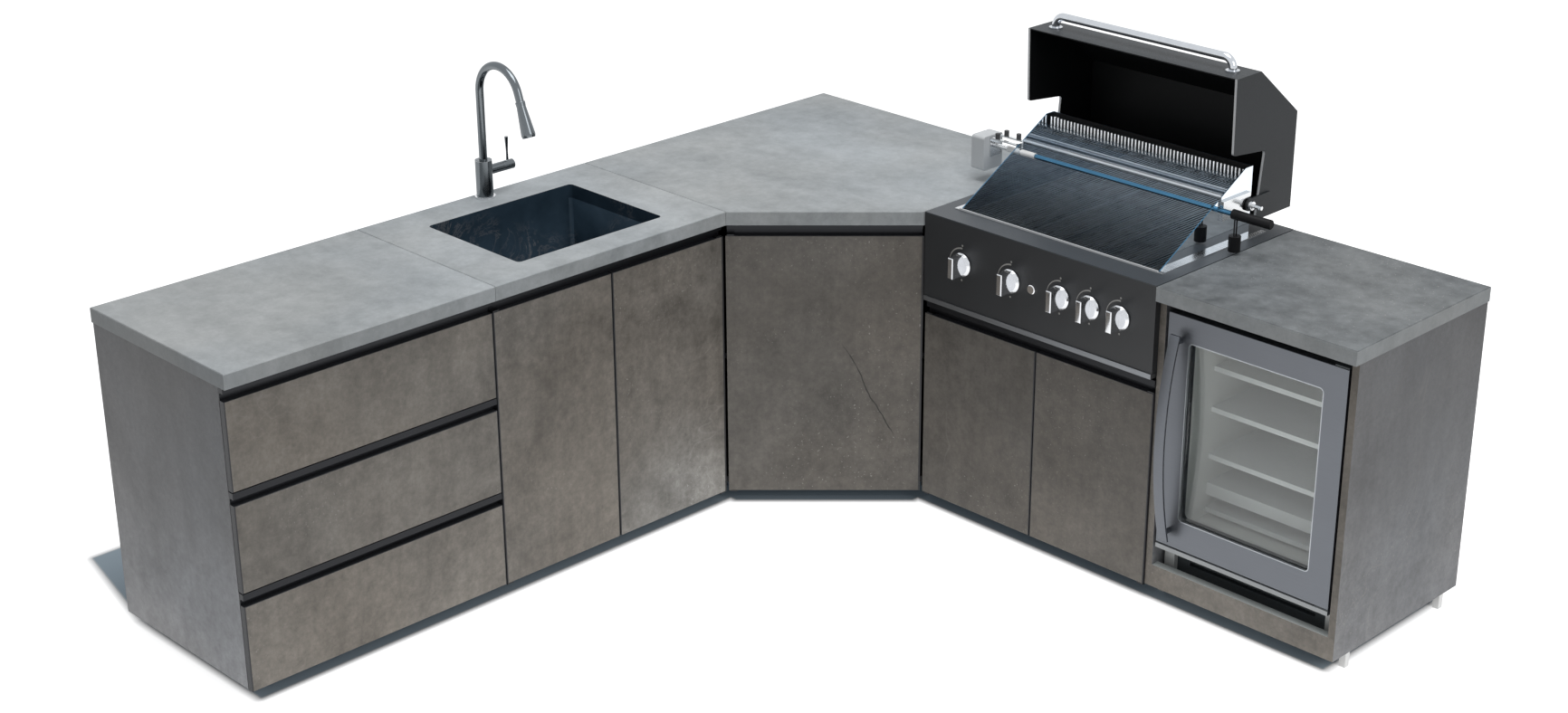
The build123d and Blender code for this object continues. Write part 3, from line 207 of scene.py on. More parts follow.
def add(tree, kind, values=None, **settings):
    """Add a node, set its options and feed its inputs."""
    node = tree.nodes.new(kind)
    for key, value in settings.items():
        setattr(node, key, value)
    feed(tree, node, values or {})
    return node


def math_node(tree, operation, first, second=0.0):
    """A Math node fed by sockets or plain numbers."""
    return add(tree, "ShaderNodeMath", {0: first, 1: second}, operation=operation).outputs[0]


def chain(tree, operation, first, *others):
    """Several values worked together with one operation, from left to right."""
    for other in others:
        first = math_node(tree, operation, first, other)
    return first


def weighted(tree, *terms):
    """The sum of values, each times its weight."""
    return chain(tree, "ADD", *(math_node(tree, "MULTIPLY", value, weight) for value, weight in terms))


def apart(tree, value, middle):
    """How far a value lies from a middle one, on either side."""
    return math_node(tree, "ABSOLUTE", math_node(tree, "SUBTRACT", value, middle))


def split(tree, vector):
    """The three parts of a vector."""
    return add(tree, "ShaderNodeSeparateXYZ", {0: vector}).outputs


def stretched(tree, vector, factors):
    """A vector times a factor along each axis."""
    return add(tree, "ShaderNodeVectorMath", {0: vector, 1: factors}, operation="MULTIPLY").outputs[0]


def mix_colour(tree, factor, first, second, blend="MIX"):
    """Mix two colours, each a socket or a colour."""
    first, second = (value if is_socket(value) else (*value, 1) for value in (first, second))
    values = {0: factor, 6: first, 7: second}
    return add(tree, "ShaderNodeMix", values, data_type="RGBA", blend_type=blend).outputs[2]


def times(tree, colour, factor):
    """A colour times another colour or a value."""
    return mix_colour(tree, 1.0, colour, factor, "MULTIPLY")


def spread(tree, value, low, high, to_low=0.0, to_high=1.0):
    """Map a socket from one range to another, clamped."""
    values = {0: value, 1: low, 2: high, 3: to_low, 4: to_high}
    return add(tree, "ShaderNodeMapRange", values).outputs[0]


def noise(tree, vector, scale, detail=4.0, roughness=0.55, distortion=0.0):
    """A noise texture's value on given coordinates."""
    values = {"Scale": scale, "Detail": detail, "Roughness": roughness, "Distortion": distortion}
    return add(tree, "ShaderNodeTexNoise", {"Vector": vector, **values}).outputs[0]


def new_group(name, inputs, outputs, kind="ShaderNodeTree"):
    """A node group with named sockets; inputs are (name, kind, default)."""
    group = bpy.data.node_groups.new(name, kind)
    for label, socket_kind, default in inputs:
        socket = group.interface.new_socket(label, in_out="INPUT", socket_type="NodeSocket" + socket_kind)
        if default is not None:
            socket.default_value = default
    for label, socket_kind in outputs:
        group.interface.new_socket(label, in_out="OUTPUT", socket_type="NodeSocket" + socket_kind)
    return group, group.nodes.new("NodeGroupInput").outputs, group.nodes.new("NodeGroupOutput")


def group_node(tree, name, values):
    """Place a shader node group in a material with its own values."""
    return add(tree, "ShaderNodeGroup", values, node_tree=bpy.data.node_groups[name])


def stone_group():
    """Clouded stone: clouds, drawn-out grain, small mottling, pits, pale specks and hairline veins."""
    group, given, leave = new_group(
        "stone_surface",
        [
            ("Vector", "Vector", None),
            ("Dark", "Color", (0.2, 0.2, 0.2, 1)),
            ("Light", "Color", (0.4, 0.4, 0.4, 1)),
            ("Cloud Scale", "Float", 2.2),
            ("Grain", "Vector", (1.0, 1.0, 1.0)),
            ("Mottle", "Float", 0.1),
            ("Vein", "Float", 0.3),
        ],
        [("Color", "Color"), ("Roughness", "Float"), ("Height", "Float")],
    )
    cool_tint, warm_tint = (0.985, 1.0, 1.015), (1.02, 1.0, 0.975)
    speck_colour, vein_colour = (0.52, 0.50, 0.47), (0.46, 0.43, 0.40)
    where = given["Vector"]
    clouds = noise(group, where, given["Cloud Scale"], 5, 0.6, 0.6)
    grain = noise(group, stretched(group, where, given["Grain"]), 1.0, 4, 0.6)
    mottle = noise(group, where, math_node(group, "MULTIPLY", given["Cloud Scale"], 8.0), 7, 0.7)
    blend = weighted(group, (clouds, 0.38), (grain, 0.20), (mottle, 0.42))
    colour = mix_colour(group, spread(group, blend, 0.37, 0.63), given["Dark"], given["Light"])
    # A slow drift between a cool and a warm tint
    warm = spread(group, noise(group, where, 1.6, 2), 0.35, 0.65)
    colour = times(group, colour, mix_colour(group, warm, cool_tint, warm_tint))
    # Fine felt and dark pits
    felt = noise(group, where, 95, 4, 0.65)
    pores = noise(group, where, 260, 2, 0.5)
    swing = chain(group, "MULTIPLY", math_node(group, "SUBTRACT", felt, 0.5), given["Mottle"], 4.0)
    colour = times(group, colour, math_node(group, "ADD", swing, 1.0))
    colour = times(group, colour, spread(group, pores, 0.24, 0.36, 0.80, 1.0))
    # Pale specks in some places only
    rare = spread(group, noise(group, where, 2.3, 2), 0.50, 0.62, 0.0, 0.55)
    specks = math_node(group, "MULTIPLY", spread(group, noise(group, where, 150, 2), 0.66, 0.72), rare)
    colour = mix_colour(group, specks, colour, speck_colour)
    # Hairline veins in some places only
    ridge = apart(group, noise(group, where, 1.7, 3, 0.55, 1.4), 0.5)
    sparse = spread(group, noise(group, where, 1.1, 2), 0.56, 0.64)
    vein = chain(group, "MULTIPLY", spread(group, ridge, 0.0, 0.006, 1.0, 0.0), sparse, given["Vein"])
    colour = mix_colour(group, vein, colour, vein_colour)
    rough = spread(group, mottle, 0.3, 0.7, 0.52, 0.66)
    height = weighted(group, (pores, 0.5), (felt, 1.0))
    feed(group, leave, {"Color": colour, "Roughness": rough, "Height": height})


def grain_group():
    """Brushed metal: fine lines drawn out along one direction, with soft smudges."""
    group, given, leave = new_group(
        "metal_grain",
        [
            ("Vector", "Vector", None),
            ("Stretch", "Vector", (900.0, 900.0, 12.0)),
            ("Smooth", "Float", 0.2),
            ("Rough", "Float", 0.35),
        ],
        [("Lines", "Float"), ("Roughness", "Float")],
    )
    lines = noise(group, stretched(group, given["Vector"], given["Stretch"]), 1.0, 3, 0.6)
    smudge = noise(group, given["Vector"], 9.0, 3, 0.5)
    mixed = weighted(group, (lines, 0.7), (smudge, 0.3))
    rough = spread(group, mixed, 0.3, 0.7, given["Smooth"], given["Rough"])
    feed(group, leave, {"Lines": lines, "Roughness": rough})


def fresh_material(name):
    """A material with a Principled shader and Object coordinates ready for use."""
    material = bpy.data.materials.new(name)
    material.use_nodes = True
    tree = material.node_tree
    shader = tree.nodes["Principled BSDF"]
    where = tree.nodes.new("ShaderNodeTexCoord").outputs["Object"]
    return material, tree, shader, where


def shades(colour, shade):
    """A darker and a lighter shade of a colour."""
    return [part * (1 - shade) for part in colour], [min(1, part * (1 + shade)) for part in colour]


def bump(tree, height, strength, distance):
    """A normal that follows a height."""
    values = {"Height": height, "Strength": strength, "Distance": distance}
    return add(tree, "ShaderNodeBump", values).outputs[0]


def highlight_mask(tree, where, middle, reach):
    """A mask that fades out from a point of a panel."""
    away = add(tree, "ShaderNodeVectorMath", {0: where, 1: middle}, operation="DISTANCE")
    return spread(tree, away.outputs["Value"], 0.0, reach, 1.0, 0.0)


def hairline(tree, where, start, end):
    """A mask along a wavering hairline on the diagonal door, between two points (along the door, up)."""
    x, y, z = split(tree, where)
    along = math_node(tree, "SUBTRACT", math_node(tree, "ADD", x, y), CORNER.x + CORNER.y)
    along = math_node(tree, "SUBTRACT", math_node(tree, "DIVIDE", along, math.sqrt(2)), start[0])
    rise = math_node(tree, "SUBTRACT", z, start[1])
    length = math.dist(start, end)
    step = [(last - first) / length for first, last in zip(start, end)]
    travel = weighted(tree, (along, step[0]), (rise, step[1]))
    across = weighted(tree, (along, step[1]), (rise, -step[0]))
    waver = math_node(tree, "MULTIPLY", math_node(tree, "SUBTRACT", noise(tree, where, 11.0, 3), 0.5), 0.03)
    away = math_node(tree, "ABSOLUTE", math_node(tree, "ADD", across, waver))
    line = spread(tree, away, 0.0010, 0.0024, 0.95, 0.0)
    within = spread(tree, apart(tree, travel, length / 2), length / 2 - 0.05, length / 2, 1.0, 0.0)
    broken = spread(tree, noise(tree, where, 26.0, 2), 0.36, 0.48, 0.35, 1.0)
    return chain(tree, "MULTIPLY", line, within, broken)


def stone_material(node, colours, look, cut, tone_and_shade, scar=None, pale=None, upward_shade=1.0):
    """A stone-look panel; each cut comes from another part of the slab, and its tone makes it darker or
    lighter, partly as painted shade.
    """
    material, tree, shader, where = fresh_material(node + "_stone")
    shifted = add(tree, "ShaderNodeMapping", {"Vector": where, "Location": (1.7 * cut, 2.3 * cut, 0.9 * cut)})
    # The tone scales both colours of the slab; for many panels it is painted shade
    dark, light = ((*(tone_and_shade * part for part in colour), 1) for colour in colours)
    values = {"Vector": shifted.outputs[0], "Dark": dark, "Light": light, **look}
    stone = group_node(tree, "stone_surface", values)
    colour = stone.outputs["Color"]
    if scar:
        colour = mix_colour(tree, hairline(tree, where, *scar), colour, SCAR_COLOUR)
    # Painted shade: darker towards the top, for the floor's bounce light on the lower part
    if upward_shade < 1:
        colour = times(tree, colour, spread(tree, split(tree, where)[2], *UPWARD_SHADE_HEIGHTS, 1.0, upward_shade))
    # Painted highlight: a pale patch of light on the right sink door
    if pale:
        colour = mix_colour(tree, highlight_mask(tree, where, *pale), colour, HIGHLIGHT_GAIN, "MULTIPLY")
    normal = bump(tree, stone.outputs["Height"], 0.35, 0.0006)
    feed(tree, shader, {"Base Color": colour, "Roughness": stone.outputs["Roughness"], "Normal": normal})
    return material


def metal_material(name, colour, smooth, rough, stretch, shade=0.12, metallic=1.0, depth=0.00004):
    """Brushed, satin or polished metal; stretch is small along the brushing."""
    material, tree, shader, where = fresh_material(name)
    values = {"Vector": where, "Stretch": stretch, "Smooth": smooth, "Rough": rough}
    lines, roughness = group_node(tree, "metal_grain", values).outputs
    tint = mix_colour(tree, spread(tree, lines, 0.3, 0.7), *shades(colour, shade))
    normal = bump(tree, lines, 0.25, depth)
    feed(tree, shader, {"Base Color": tint, "Roughness": roughness, "Metallic": metallic, "Normal": normal})
    return material


def coat_material(name, colour, rough, shade=0.15, specular=0.5):
    """Powder coat or moulded plastic with a fine, even texture."""
    material, tree, shader, where = fresh_material(name)
    fine = noise(tree, where, 420.0, 2, 0.5)
    broad = spread(tree, noise(tree, where, 3.0, 3, 0.5), 0.35, 0.65)
    values = {
        "Base Color": mix_colour(tree, broad, *shades(colour, shade)),
        "Roughness": spread(tree, fine, 0.3, 0.7, rough - 0.06, rough + 0.06),
        "Specular IOR Level": specular,
        "Normal": bump(tree, fine, 0.3, 0.00012),
    }
    feed(tree, shader, values)
    return material


def basin_material(name):
    """Black composite bowl with faint pale marks on its floor."""
    material, tree, shader, where = fresh_material(name)
    black, soft_black, mark_colour = (0.018, 0.034, 0.051), (0.028, 0.049, 0.072), (0.16, 0.16, 0.17)
    marks = noise(tree, where, 9.0, 8, 0.72, 0.9)
    thin = spread(tree, apart(tree, marks, 0.5), 0.0, 0.03, 1.0, 0.0)
    patch = spread(tree, noise(tree, where, 5.0, 2), 0.44, 0.60)
    veil = chain(tree, "MULTIPLY", thin, patch, 0.6)
    cloud = spread(tree, noise(tree, where, 14.0, 4), 0.3, 0.7)
    values = {
        "Base Color": mix_colour(tree, veil, mix_colour(tree, cloud, black, soft_black), mark_colour),
        "Roughness": spread(tree, marks, 0.3, 0.7, 0.50, 0.66),
        "Specular IOR Level": 0.08,
        "Normal": bump(tree, noise(tree, where, 500.0, 2), 0.2, 0.0002),
    }
    feed(tree, shader, values)
    return material


def glass_material(name):
    """Clear cold glass with a faint haze."""
    material, tree, shader, where = fresh_material(name)
    haze = noise(tree, where, 6.0, 3, 0.5)
    values = {
        "Base Color": mix_colour(tree, haze, (0.86, 0.89, 0.87), (0.93, 0.95, 0.94)),
        "Roughness": spread(tree, haze, 0.3, 0.7, 0.0, 0.03),
        "Transmission Weight": 1.0,
        "IOR": 1.45,
    }
    feed(tree, shader, values)
    return material


def print_material(name, colour):
    """Pale screen print."""
    material, tree, shader, where = fresh_material(name)
    worn = [part * 0.85 for part in colour]
    ink = mix_colour(tree, noise(tree, where, 160.0, 3, 0.6), worn, colour)
    feed(tree, shader, {"Base Color": ink, "Roughness": 0.5})
    return material


def panel_finishes():
    """Stone finishes of the worktops, fronts and end panels, one cut for each panel."""
    stone = bpy.context.scene.kitchen_stone
    top = tuple(stone.top_dark), tuple(stone.top_light)
    far_with_shade = tuple(stone.far_dark_with_shade), tuple(stone.far_light_with_shade)
    front = tuple(stone.front_dark), tuple(stone.front_light)
    side = tuple(stone.side_dark), tuple(stone.side_light)
    upright = (17.0, 17.0, 2.2)
    top_look = {"Cloud Scale": 2.6, "Grain": (3.0, 8.0, 3.0), "Mottle": 0.05, "Vein": 0.04}
    front_look = {"Cloud Scale": 3.4, "Grain": upright, "Mottle": 0.17, "Vein": 0.14}
    side_look = {"Cloud Scale": 2.8, "Grain": upright, "Mottle": 0.16, "Vein": 0.2}
    door_low, door_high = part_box("sink_door_right")
    highlight_middle = Vector((door_high.x, door_high.y - HIGHLIGHT_INSET, door_low.z - HIGHLIGHT_INSET))
    made = {}
    for cut, (node, tone_and_shade) in enumerate(TOPS.items(), TOP_CUT):
        # Darker colours for the fridge's worktop, partly painted shade from the grill's lid
        colours = far_with_shade if node == "worktop_fridge" else top
        edge = node + "_edge"
        made[node] = stone_material(node, colours, top_look, cut, tone_and_shade)
        made[edge] = stone_material(edge, top, top_look, cut, TOP_EDGES[node])
    for cut, (node, tone_and_shade) in enumerate(FRONTS.items(), FRONT_CUT):
        scar = SCAR if node == "corner_door" else None
        # The right sink door gets a painted highlight near its lower corner
        pale = (highlight_middle, HIGHLIGHT_REACH) if node == "sink_door_right" else None
        made[node] = stone_material(node, front, front_look, cut, tone_and_shade, scar, pale)
    for cut, (node, tone_and_shade) in enumerate(ENDS.items(), END_CUT):
        made[node] = stone_material(node, side, side_look, cut, tone_and_shade, upward_shade=END_UPWARD_SHADE)
    return made


def plain_finishes():
    """Every other finish, keyed by the record's material slot, by its node or by its use."""
    stone, metal = bpy.context.scene.kitchen_stone, bpy.context.scene.kitchen_metal
    along_x, along_y, along_z = (9.0, 700.0, 700.0), (700.0, 9.0, 700.0), (700.0, 700.0, 9.0)
    even = (40.0, 40.0, 40.0)
    # Name, colour, roughness, and where they differ from the usual ones shade and specular level
    coats = {
        "carcass_board": ("cabinet_laminate", (0.018, 0.018, 0.020), 0.55),
        "foot_plastic": ("foot_plastic", (0.050, 0.056, 0.063), 0.6),
        "drawer_steel": ("drawer_grey_coat", (0.16, 0.16, 0.165), 0.45),
        "waste_plastic": ("waste_white_plastic", (0.72, 0.72, 0.70), 0.4, 0.05),
        "anthracite": ("anthracite_coat", tuple(metal.anthracite), 0.42, 0.12),
        "grill_rim": ("rim_coat", (0.040, 0.047, 0.055), 0.42, 0.12),
        "lid_coat": ("lid_coat", tuple(metal.lid), 0.46, 0.10, 0.22),
        "enamel": ("black_enamel", (0.004, 0.0045, 0.005), 0.5, 0.2, 0.2),
        "lip": ("bright_lip", (0.74, 0.75, 0.76), 0.35, 0.04),
        "sleeve": ("white_sleeve", (0.86, 0.86, 0.85), 0.4, 0.04),
        "motor_silver": ("motor_silver", (0.60, 0.62, 0.635), 0.35, 0.05),
        "grip_black": ("black_grip", (0.006, 0.006, 0.007), 0.5, 0.15, 0.15),
        "thumb_nut": ("thumb_nut", (0.075, 0.075, 0.078), 0.5, 0.1, 0.25),
        "fridge_case": ("fridge_liner", (0.66, 0.67, 0.655), 0.45, 0.05),
        "fridge_shelf": ("shelf_light", (0.74, 0.75, 0.76), 0.3, 0.05),
        "plinth": ("fridge_plinth", (0.040, 0.048, 0.052), 0.5, 0.15),
        "sill": ("sill_grey", (0.46, 0.48, 0.49), 0.4, 0.06),
        # Painted light: the pale, lit top of the panel under the fridge
        "painted_lit_top": ("painted_lit_top", (0.50, 0.53, 0.52), 0.5, 0.08),
        "end_edge": ("end_edge_band", tuple(stone.end_edge), 0.5, 0.1),
        "front_edge": ("front_edge_band", tuple(stone.front_edge), 0.5, 0.1),
        "rubber": ("seal_rubber", (0.015, 0.015, 0.016), 0.7),
    }
    # Name, colour, least and greatest roughness, stretch, and where they differ shade, metallic and depth
    metals = {
        "rail_black": ("rail_anodised", tuple(metal.rail), 0.30, 0.42, along_x, 0.2, 0.6),
        "hardware": ("hardware_blackened", (0.045, 0.046, 0.048), 0.4, 0.55, along_z),
        "tap_steel": ("tap_brushed", tuple(metal.tap), 0.10, 0.20, along_z, 0.08),
        "burnt": ("burnt_steel", (0.035, 0.035, 0.037), 0.45, 0.6, along_y, 0.3),
        "bright_trim": ("trim_brushed", tuple(metal.steel), 0.22, 0.36, along_x),
        "control_trim": ("trim_grey", (0.22, 0.23, 0.245), 0.3, 0.42, along_x, 0.08),
        "mirror_steel": ("wall_polished", (0.76, 0.81, 0.86), 0.0, 0.02, even, 0.03, 1.0, 0.00001),
        "firebox_steel": ("firebox_satin", (0.72, 0.73, 0.74), 0.18, 0.3, along_x),
        "grate_steel": ("grate_steel", (0.205, 0.235, 0.26), 0.22, 0.36, along_y),
        "burner_steel": ("burner_steel", (0.10, 0.095, 0.09), 0.40, 0.6, along_y, 0.25),
        "rack_chrome": ("rack_chrome", (0.84, 0.85, 0.86), 0.10, 0.20, even, 0.05),
        "chrome": ("polished_chrome", tuple(metal.chrome), 0.04, 0.09, even, 0.03),
        "lid_handle": ("handle_chrome", (0.62, 0.64, 0.67), 0.05, 0.12, even, 0.04),
        "lid_hinge_shaft": ("shaft_satin", (0.62, 0.65, 0.68), 0.3, 0.42, along_x, 0.06),
        "spit_steel": ("spit_steel", (0.06, 0.165, 0.27), 0.2, 0.32, along_x),
        "bracket_steel": ("bracket_steel", (0.72, 0.73, 0.74), 0.12, 0.24, along_x),
        "fridge_steel": ("fridge_satin", tuple(metal.fridge), 0.36, 0.48, along_x, 0.06),
        "window_frame": ("window_frame", (0.34, 0.36, 0.38), 0.3, 0.42, along_z),
    }
    made = {key: coat_material(*row) for key, row in coats.items()}
    made.update({key: metal_material(*row) for key, row in metals.items()})
    made["sink_black"] = basin_material("basin_composite")
    made["fridge_glass"] = glass_material("cold_glass")
    made["print"] = print_material("pale_print", (0.42, 0.41, 0.39))
    knob = metal_material("knob_chrome", (0.66, 0.67, 0.69), 0.08, 0.16, even, 0.04)
    made.update({node: knob for node in KNOBS})
    return made


def slot_of(node):
    """The record's material slot of a CAD node."""
    return next(part["material_slot"] for part in frame["record"]["subparts"] if part["node"] == node)


def body_of(node):
    """The CAD body that a node belongs to."""
    return next(b for b, members in frame["record"]["behaviour"]["bodies"].items() if node in members)


def finish_of(node):
    """The finish of a CAD node: its own one, or the one of its slot."""
    return FINISH.get(node) or FINISH[slot_of(node)]


def keep_piece(name, mesh, body, slot, *replaced):
    """Link a finished mesh as a piece that rides on a body."""
    piece = bpy.data.objects.new(name, mesh)
    bpy.context.scene.collection.objects.link(piece)
    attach(piece, body)
    if replaced:
        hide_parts(*replaced)


def mesh_of(name, work, materials):
    """Turn a bmesh into a mesh with materials."""
    mesh = bpy.data.meshes.new(name)
    work.to_mesh(mesh)
    work.free()
    for material in materials:
        mesh.materials.append(material)
    return mesh


def shade_round(mesh, angle=SHARP_ANGLE):
    """Shade a mesh smooth where its faces meet at a smaller angle."""
    mesh.shade_smooth()
    mesh.set_sharp_from_angle(angle=angle)


def soften(work, edges, offset, clamp=False):
    """Bevel edges of a bmesh into small rounds."""
    bmesh.ops.bevel(
        work, geom=edges, offset=offset, segments=2, profile=0.7, affect="EDGES", clamp_overlap=clamp
    )


def merged_copy(node):
    """A bmesh of a CAD node with its triangles joined into whole faces."""
    work = bmesh.new()
    work.from_mesh(NODES[node].data)
    bmesh.ops.remove_doubles(work, verts=work.verts, dist=0.00001)
    bmesh.ops.dissolve_limit(work, angle_limit=math.radians(0.5), verts=work.verts, edges=work.edges)
    return work


def paint(work, choose):
    """Give each face the finish that choose(centre, normal) names; returns the finishes in order."""
    used = []
    for face in work.faces:
        key = choose(face.calc_center_median(), face.normal)
        if key not in used:
            used.append(key)
        face.material_index = used.index(key)
    return [FINISH[key] for key in used]


def smooth_copy(node, bevel=0.0, choose=None):
    """A merged copy of a CAD node with smooth round faces and, where asked, softened edges."""
    work = merged_copy(node)
    materials = paint(work, choose) if choose else [finish_of(node)]
    if bevel:
        inner = [edge for edge in work.edges if len(edge.link_faces) == 2]
        soften(work, [edge for edge in inner if edge.calc_face_angle(0) > SHARP_ANGLE], bevel, clamp=True)
    mesh = mesh_of(node + "_finished", work, materials)
    shade_round(mesh)
    keep_piece(node + "_finished", mesh, body_of(node), slot_of(node), node)


def painted_copy(node, choose, strips=(), cuts=()):
    """A merged copy of a CAD node, split by planes where asked, painted as choose(centre, normal) says."""
    work = merged_copy(node)
    for place, normal in cuts:
        whole = [*work.verts, *work.edges, *work.faces]
        bmesh.ops.bisect_plane(work, geom=whole, plane_co=place, plane_no=normal)
    for place in strips:
        bmesh.ops.create_cube(work, size=1, matrix=place)
        work.normal_update()
    mesh = mesh_of(node + "_painted", work, paint(work, choose))
    keep_piece(node + "_painted", mesh, body_of(node), slot_of(node), node)


def edge_strip(node, outward, side, width=0.004, depth=0.003, lap=0.0013, proud=0.00005):
    """Place of a strip that widens a front past its CAD edge on one side."""
    spots = [vert.co for vert in NODES[node].data.vertices]
    edge = max(spot.dot(side) for spot in spots)
    face = max(spot.dot(outward) for spot in spots)
    low, high = min(spot.z for spot in spots), max(spot.z for spot in spots)
    size = Vector((width + lap, depth + proud, high - low))
    middle = side * (edge + (width - lap) / 2) + outward * (face + (proud - depth) / 2)
    middle.z = (low + high) / 2
    turn = Matrix((side, outward, Vector((0, 0, 1)))).transposed().to_4x4()
    return Matrix.Translation(middle) @ turn @ Matrix.Diagonal((*size, 1))


def row_of_wires_tree():
    """A bent wire, given as a curve, repeated in a row along x."""
    tree, given, leave = new_group(
        WIRE_TREE,
        [
            ("Geometry", "Geometry", None),
            ("Count", "Int", 10),
            ("Pitch", "Float", 0.01),
            ("Radius", "Float", 0.002),
            ("Bend", "Float", 0.003),
        ],
        [("Geometry", "Geometry")],
        "GeometryNodeTree",
    )
    bend = {"Curve": given["Geometry"], "Radius": given["Bend"], "Count": 3}
    bent = add(tree, "GeometryNodeFilletCurve", bend, mode="POLY").outputs[0]
    circle = {"Resolution": 8, "Radius": given["Radius"]}
    profile = add(tree, "GeometryNodeCurvePrimitiveCircle", circle).outputs[0]
    sweep = {"Curve": bent, "Profile Curve": profile, "Fill Caps": True}
    wire = add(tree, "GeometryNodeCurveToMesh", sweep).outputs[0]
    step = add(tree, "ShaderNodeCombineXYZ", {"X": given["Pitch"]}).outputs[0]
    places = {"Count": given["Count"], "Offset": step}
    row = add(tree, "GeometryNodeMeshLine", places, mode="OFFSET").outputs[0]
    copies = add(tree, "GeometryNodeInstanceOnPoints", {"Points": row, "Instance": wire}).outputs[0]
    real = add(tree, "GeometryNodeRealizeInstances", {0: copies}).outputs[0]
    smooth = add(tree, "GeometryNodeSetShadeSmooth", {"Geometry": real}).outputs[0]
    coated = add(tree, "GeometryNodeSetMaterial", {"Geometry": smooth}, name="coat").outputs[0]
    feed(tree, leave, {"Geometry": coated})
    return tree


def wire_row(name, points, radius, material, count=1, pitch=0.0, bend=0.0):
    """Mesh of a row of like wires; points are the first wire's path."""
    curve = bpy.data.curves.new(name, "CURVE")
    curve.dimensions = "3D"
    path = curve.splines.new("POLY")
    path.points.add(len(points) - 1)
    for point, place in zip(path.points, points):
        point.co = (*place, 1)
    holder = bpy.data.objects.new(name, curve)
    bpy.context.scene.collection.objects.link(holder)
    tree = bpy.data.node_groups.get(WIRE_TREE) or row_of_wires_tree()
    tree.nodes["coat"].inputs["Material"].default_value = material
    modifier = holder.modifiers.new("wires", "NODES")
    modifier.node_group = tree
    values = {"Count": count, "Pitch": pitch, "Radius": radius, "Bend": bend}
    for socket in tree.interface.items_tree:
        if socket.in_out == "INPUT" and socket.name in values:
            modifier[socket.identifier] = values[socket.name]
    graph = bpy.context.evaluated_depsgraph_get()
    mesh = bpy.data.meshes.new_from_object(holder.evaluated_get(graph), depsgraph=graph)
    bpy.data.objects.remove(holder)
    bpy.data.curves.remove(curve)
    return mesh


def joined(name, meshes):
    """One mesh from several, with their materials kept."""
    work = bmesh.new()
    materials = []
    for mesh in meshes:
        start = len(work.faces)
        work.from_mesh(mesh)
        work.faces.ensure_lookup_table()
        for face in work.faces[start:]:
            material = mesh.materials[face.material_index]
            if material not in materials:
                materials.append(material)
            face.material_index = materials.index(material)
    for mesh in meshes:
        bpy.data.meshes.remove(mesh)
    return mesh_of(name, work, materials)


def mesh_from(name, verts, faces, material):
    """A plain mesh from points and faces."""
    mesh = bpy.data.meshes.new(name)
    mesh.from_pydata(verts, [], faces)
    work = bmesh.new()
    work.from_mesh(mesh)
    bmesh.ops.recalc_face_normals(work, faces=work.faces)
    work.to_mesh(mesh)
    work.free()
    mesh.materials.append(material)
    return mesh


def slab(work, low, high, bevel):
    """Add a box between two corners to a bmesh, with softened edges."""
    made = bmesh.ops.create_cube(work, size=1)["verts"]
    for vert in made:
        vert.co = vert.co * (high - low) + (low + high) / 2
    soften(work, list({edge for vert in made for edge in vert.link_edges}), bevel)


def on_circle(x, z, radius, degrees):
    """A point of an upright circle that faces the front of the right wing."""
    angle = math.radians(degrees)
    return x + radius * math.cos(angle), z + radius * math.sin(angle)


class KITCHEN_OT_finishes(Operator):
    """Give every CAD node its finish"""

    bl_idname = "kitchen.finishes"
    bl_label = "Finishes"

    def execute(self, context):
        stone_group()
        grain_group()
        FINISH.update(plain_finishes())
        FINISH.update(panel_finishes())
        for name, node in NODES.items():
            node.data.materials.clear()
            node.data.materials.append(finish_of(name))
        return {"FINISHED"}


class KITCHEN_OT_round_pieces(Operator):
    """Smooth the turned, bent and moulded pieces"""

    bl_idname = "kitchen.round_pieces"
    bl_label = "Round pieces"

    def execute(self, context):
        ring_height = 0.0065
        ring_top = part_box("worktop_sink")[1].z + ring_height
        strainer_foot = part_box("sink_bowl")[0].z

        def tap_face(centre, normal):
            """A chromed ring at the foot of the brushed body."""
            return "chrome" if centre.z < ring_top else "tap_steel"

        def shaft_face(centre, normal):
            """A satin bar across the grill with bright ends."""
            return "lid_hinge_shaft" if WALL_LOW.x < centre.x < WALL_HIGH.x else "bracket_steel"

        def spit_face(centre, normal):
            """Plain steel in the motor's bracket, blue steel across the grill."""
            return "bracket_steel" if centre.x < WALL_LOW.x else "spit_steel"

        def waste_face(centre, normal):
            """A steel strainer in the bowl over the plastic trap."""
            return "bright_trim" if centre.z > strainer_foot else "waste_plastic"

        turned = "tap_spout", "tap_spray_head", "tap_lever", "lid_handle", "spit_grip", "spit_counterweight"
        for node in (*turned, "igniter_button", "sink_bowl"):
            smooth_copy(node)
        smooth_copy("spit_motor", bevel=0.0008)
        smooth_copy("fridge_handle", bevel=0.0012)
        smooth_copy("tap_body", bevel=0.0008, choose=tap_face)
        smooth_copy("lid_hinge_shaft", choose=shaft_face)
        smooth_copy("spit_rod", choose=spit_face)
        smooth_copy("sink_waste", choose=waste_face)
        for node in KNOBS:
            smooth_copy(node, bevel=0.0006)
        return {"FINISHED"}


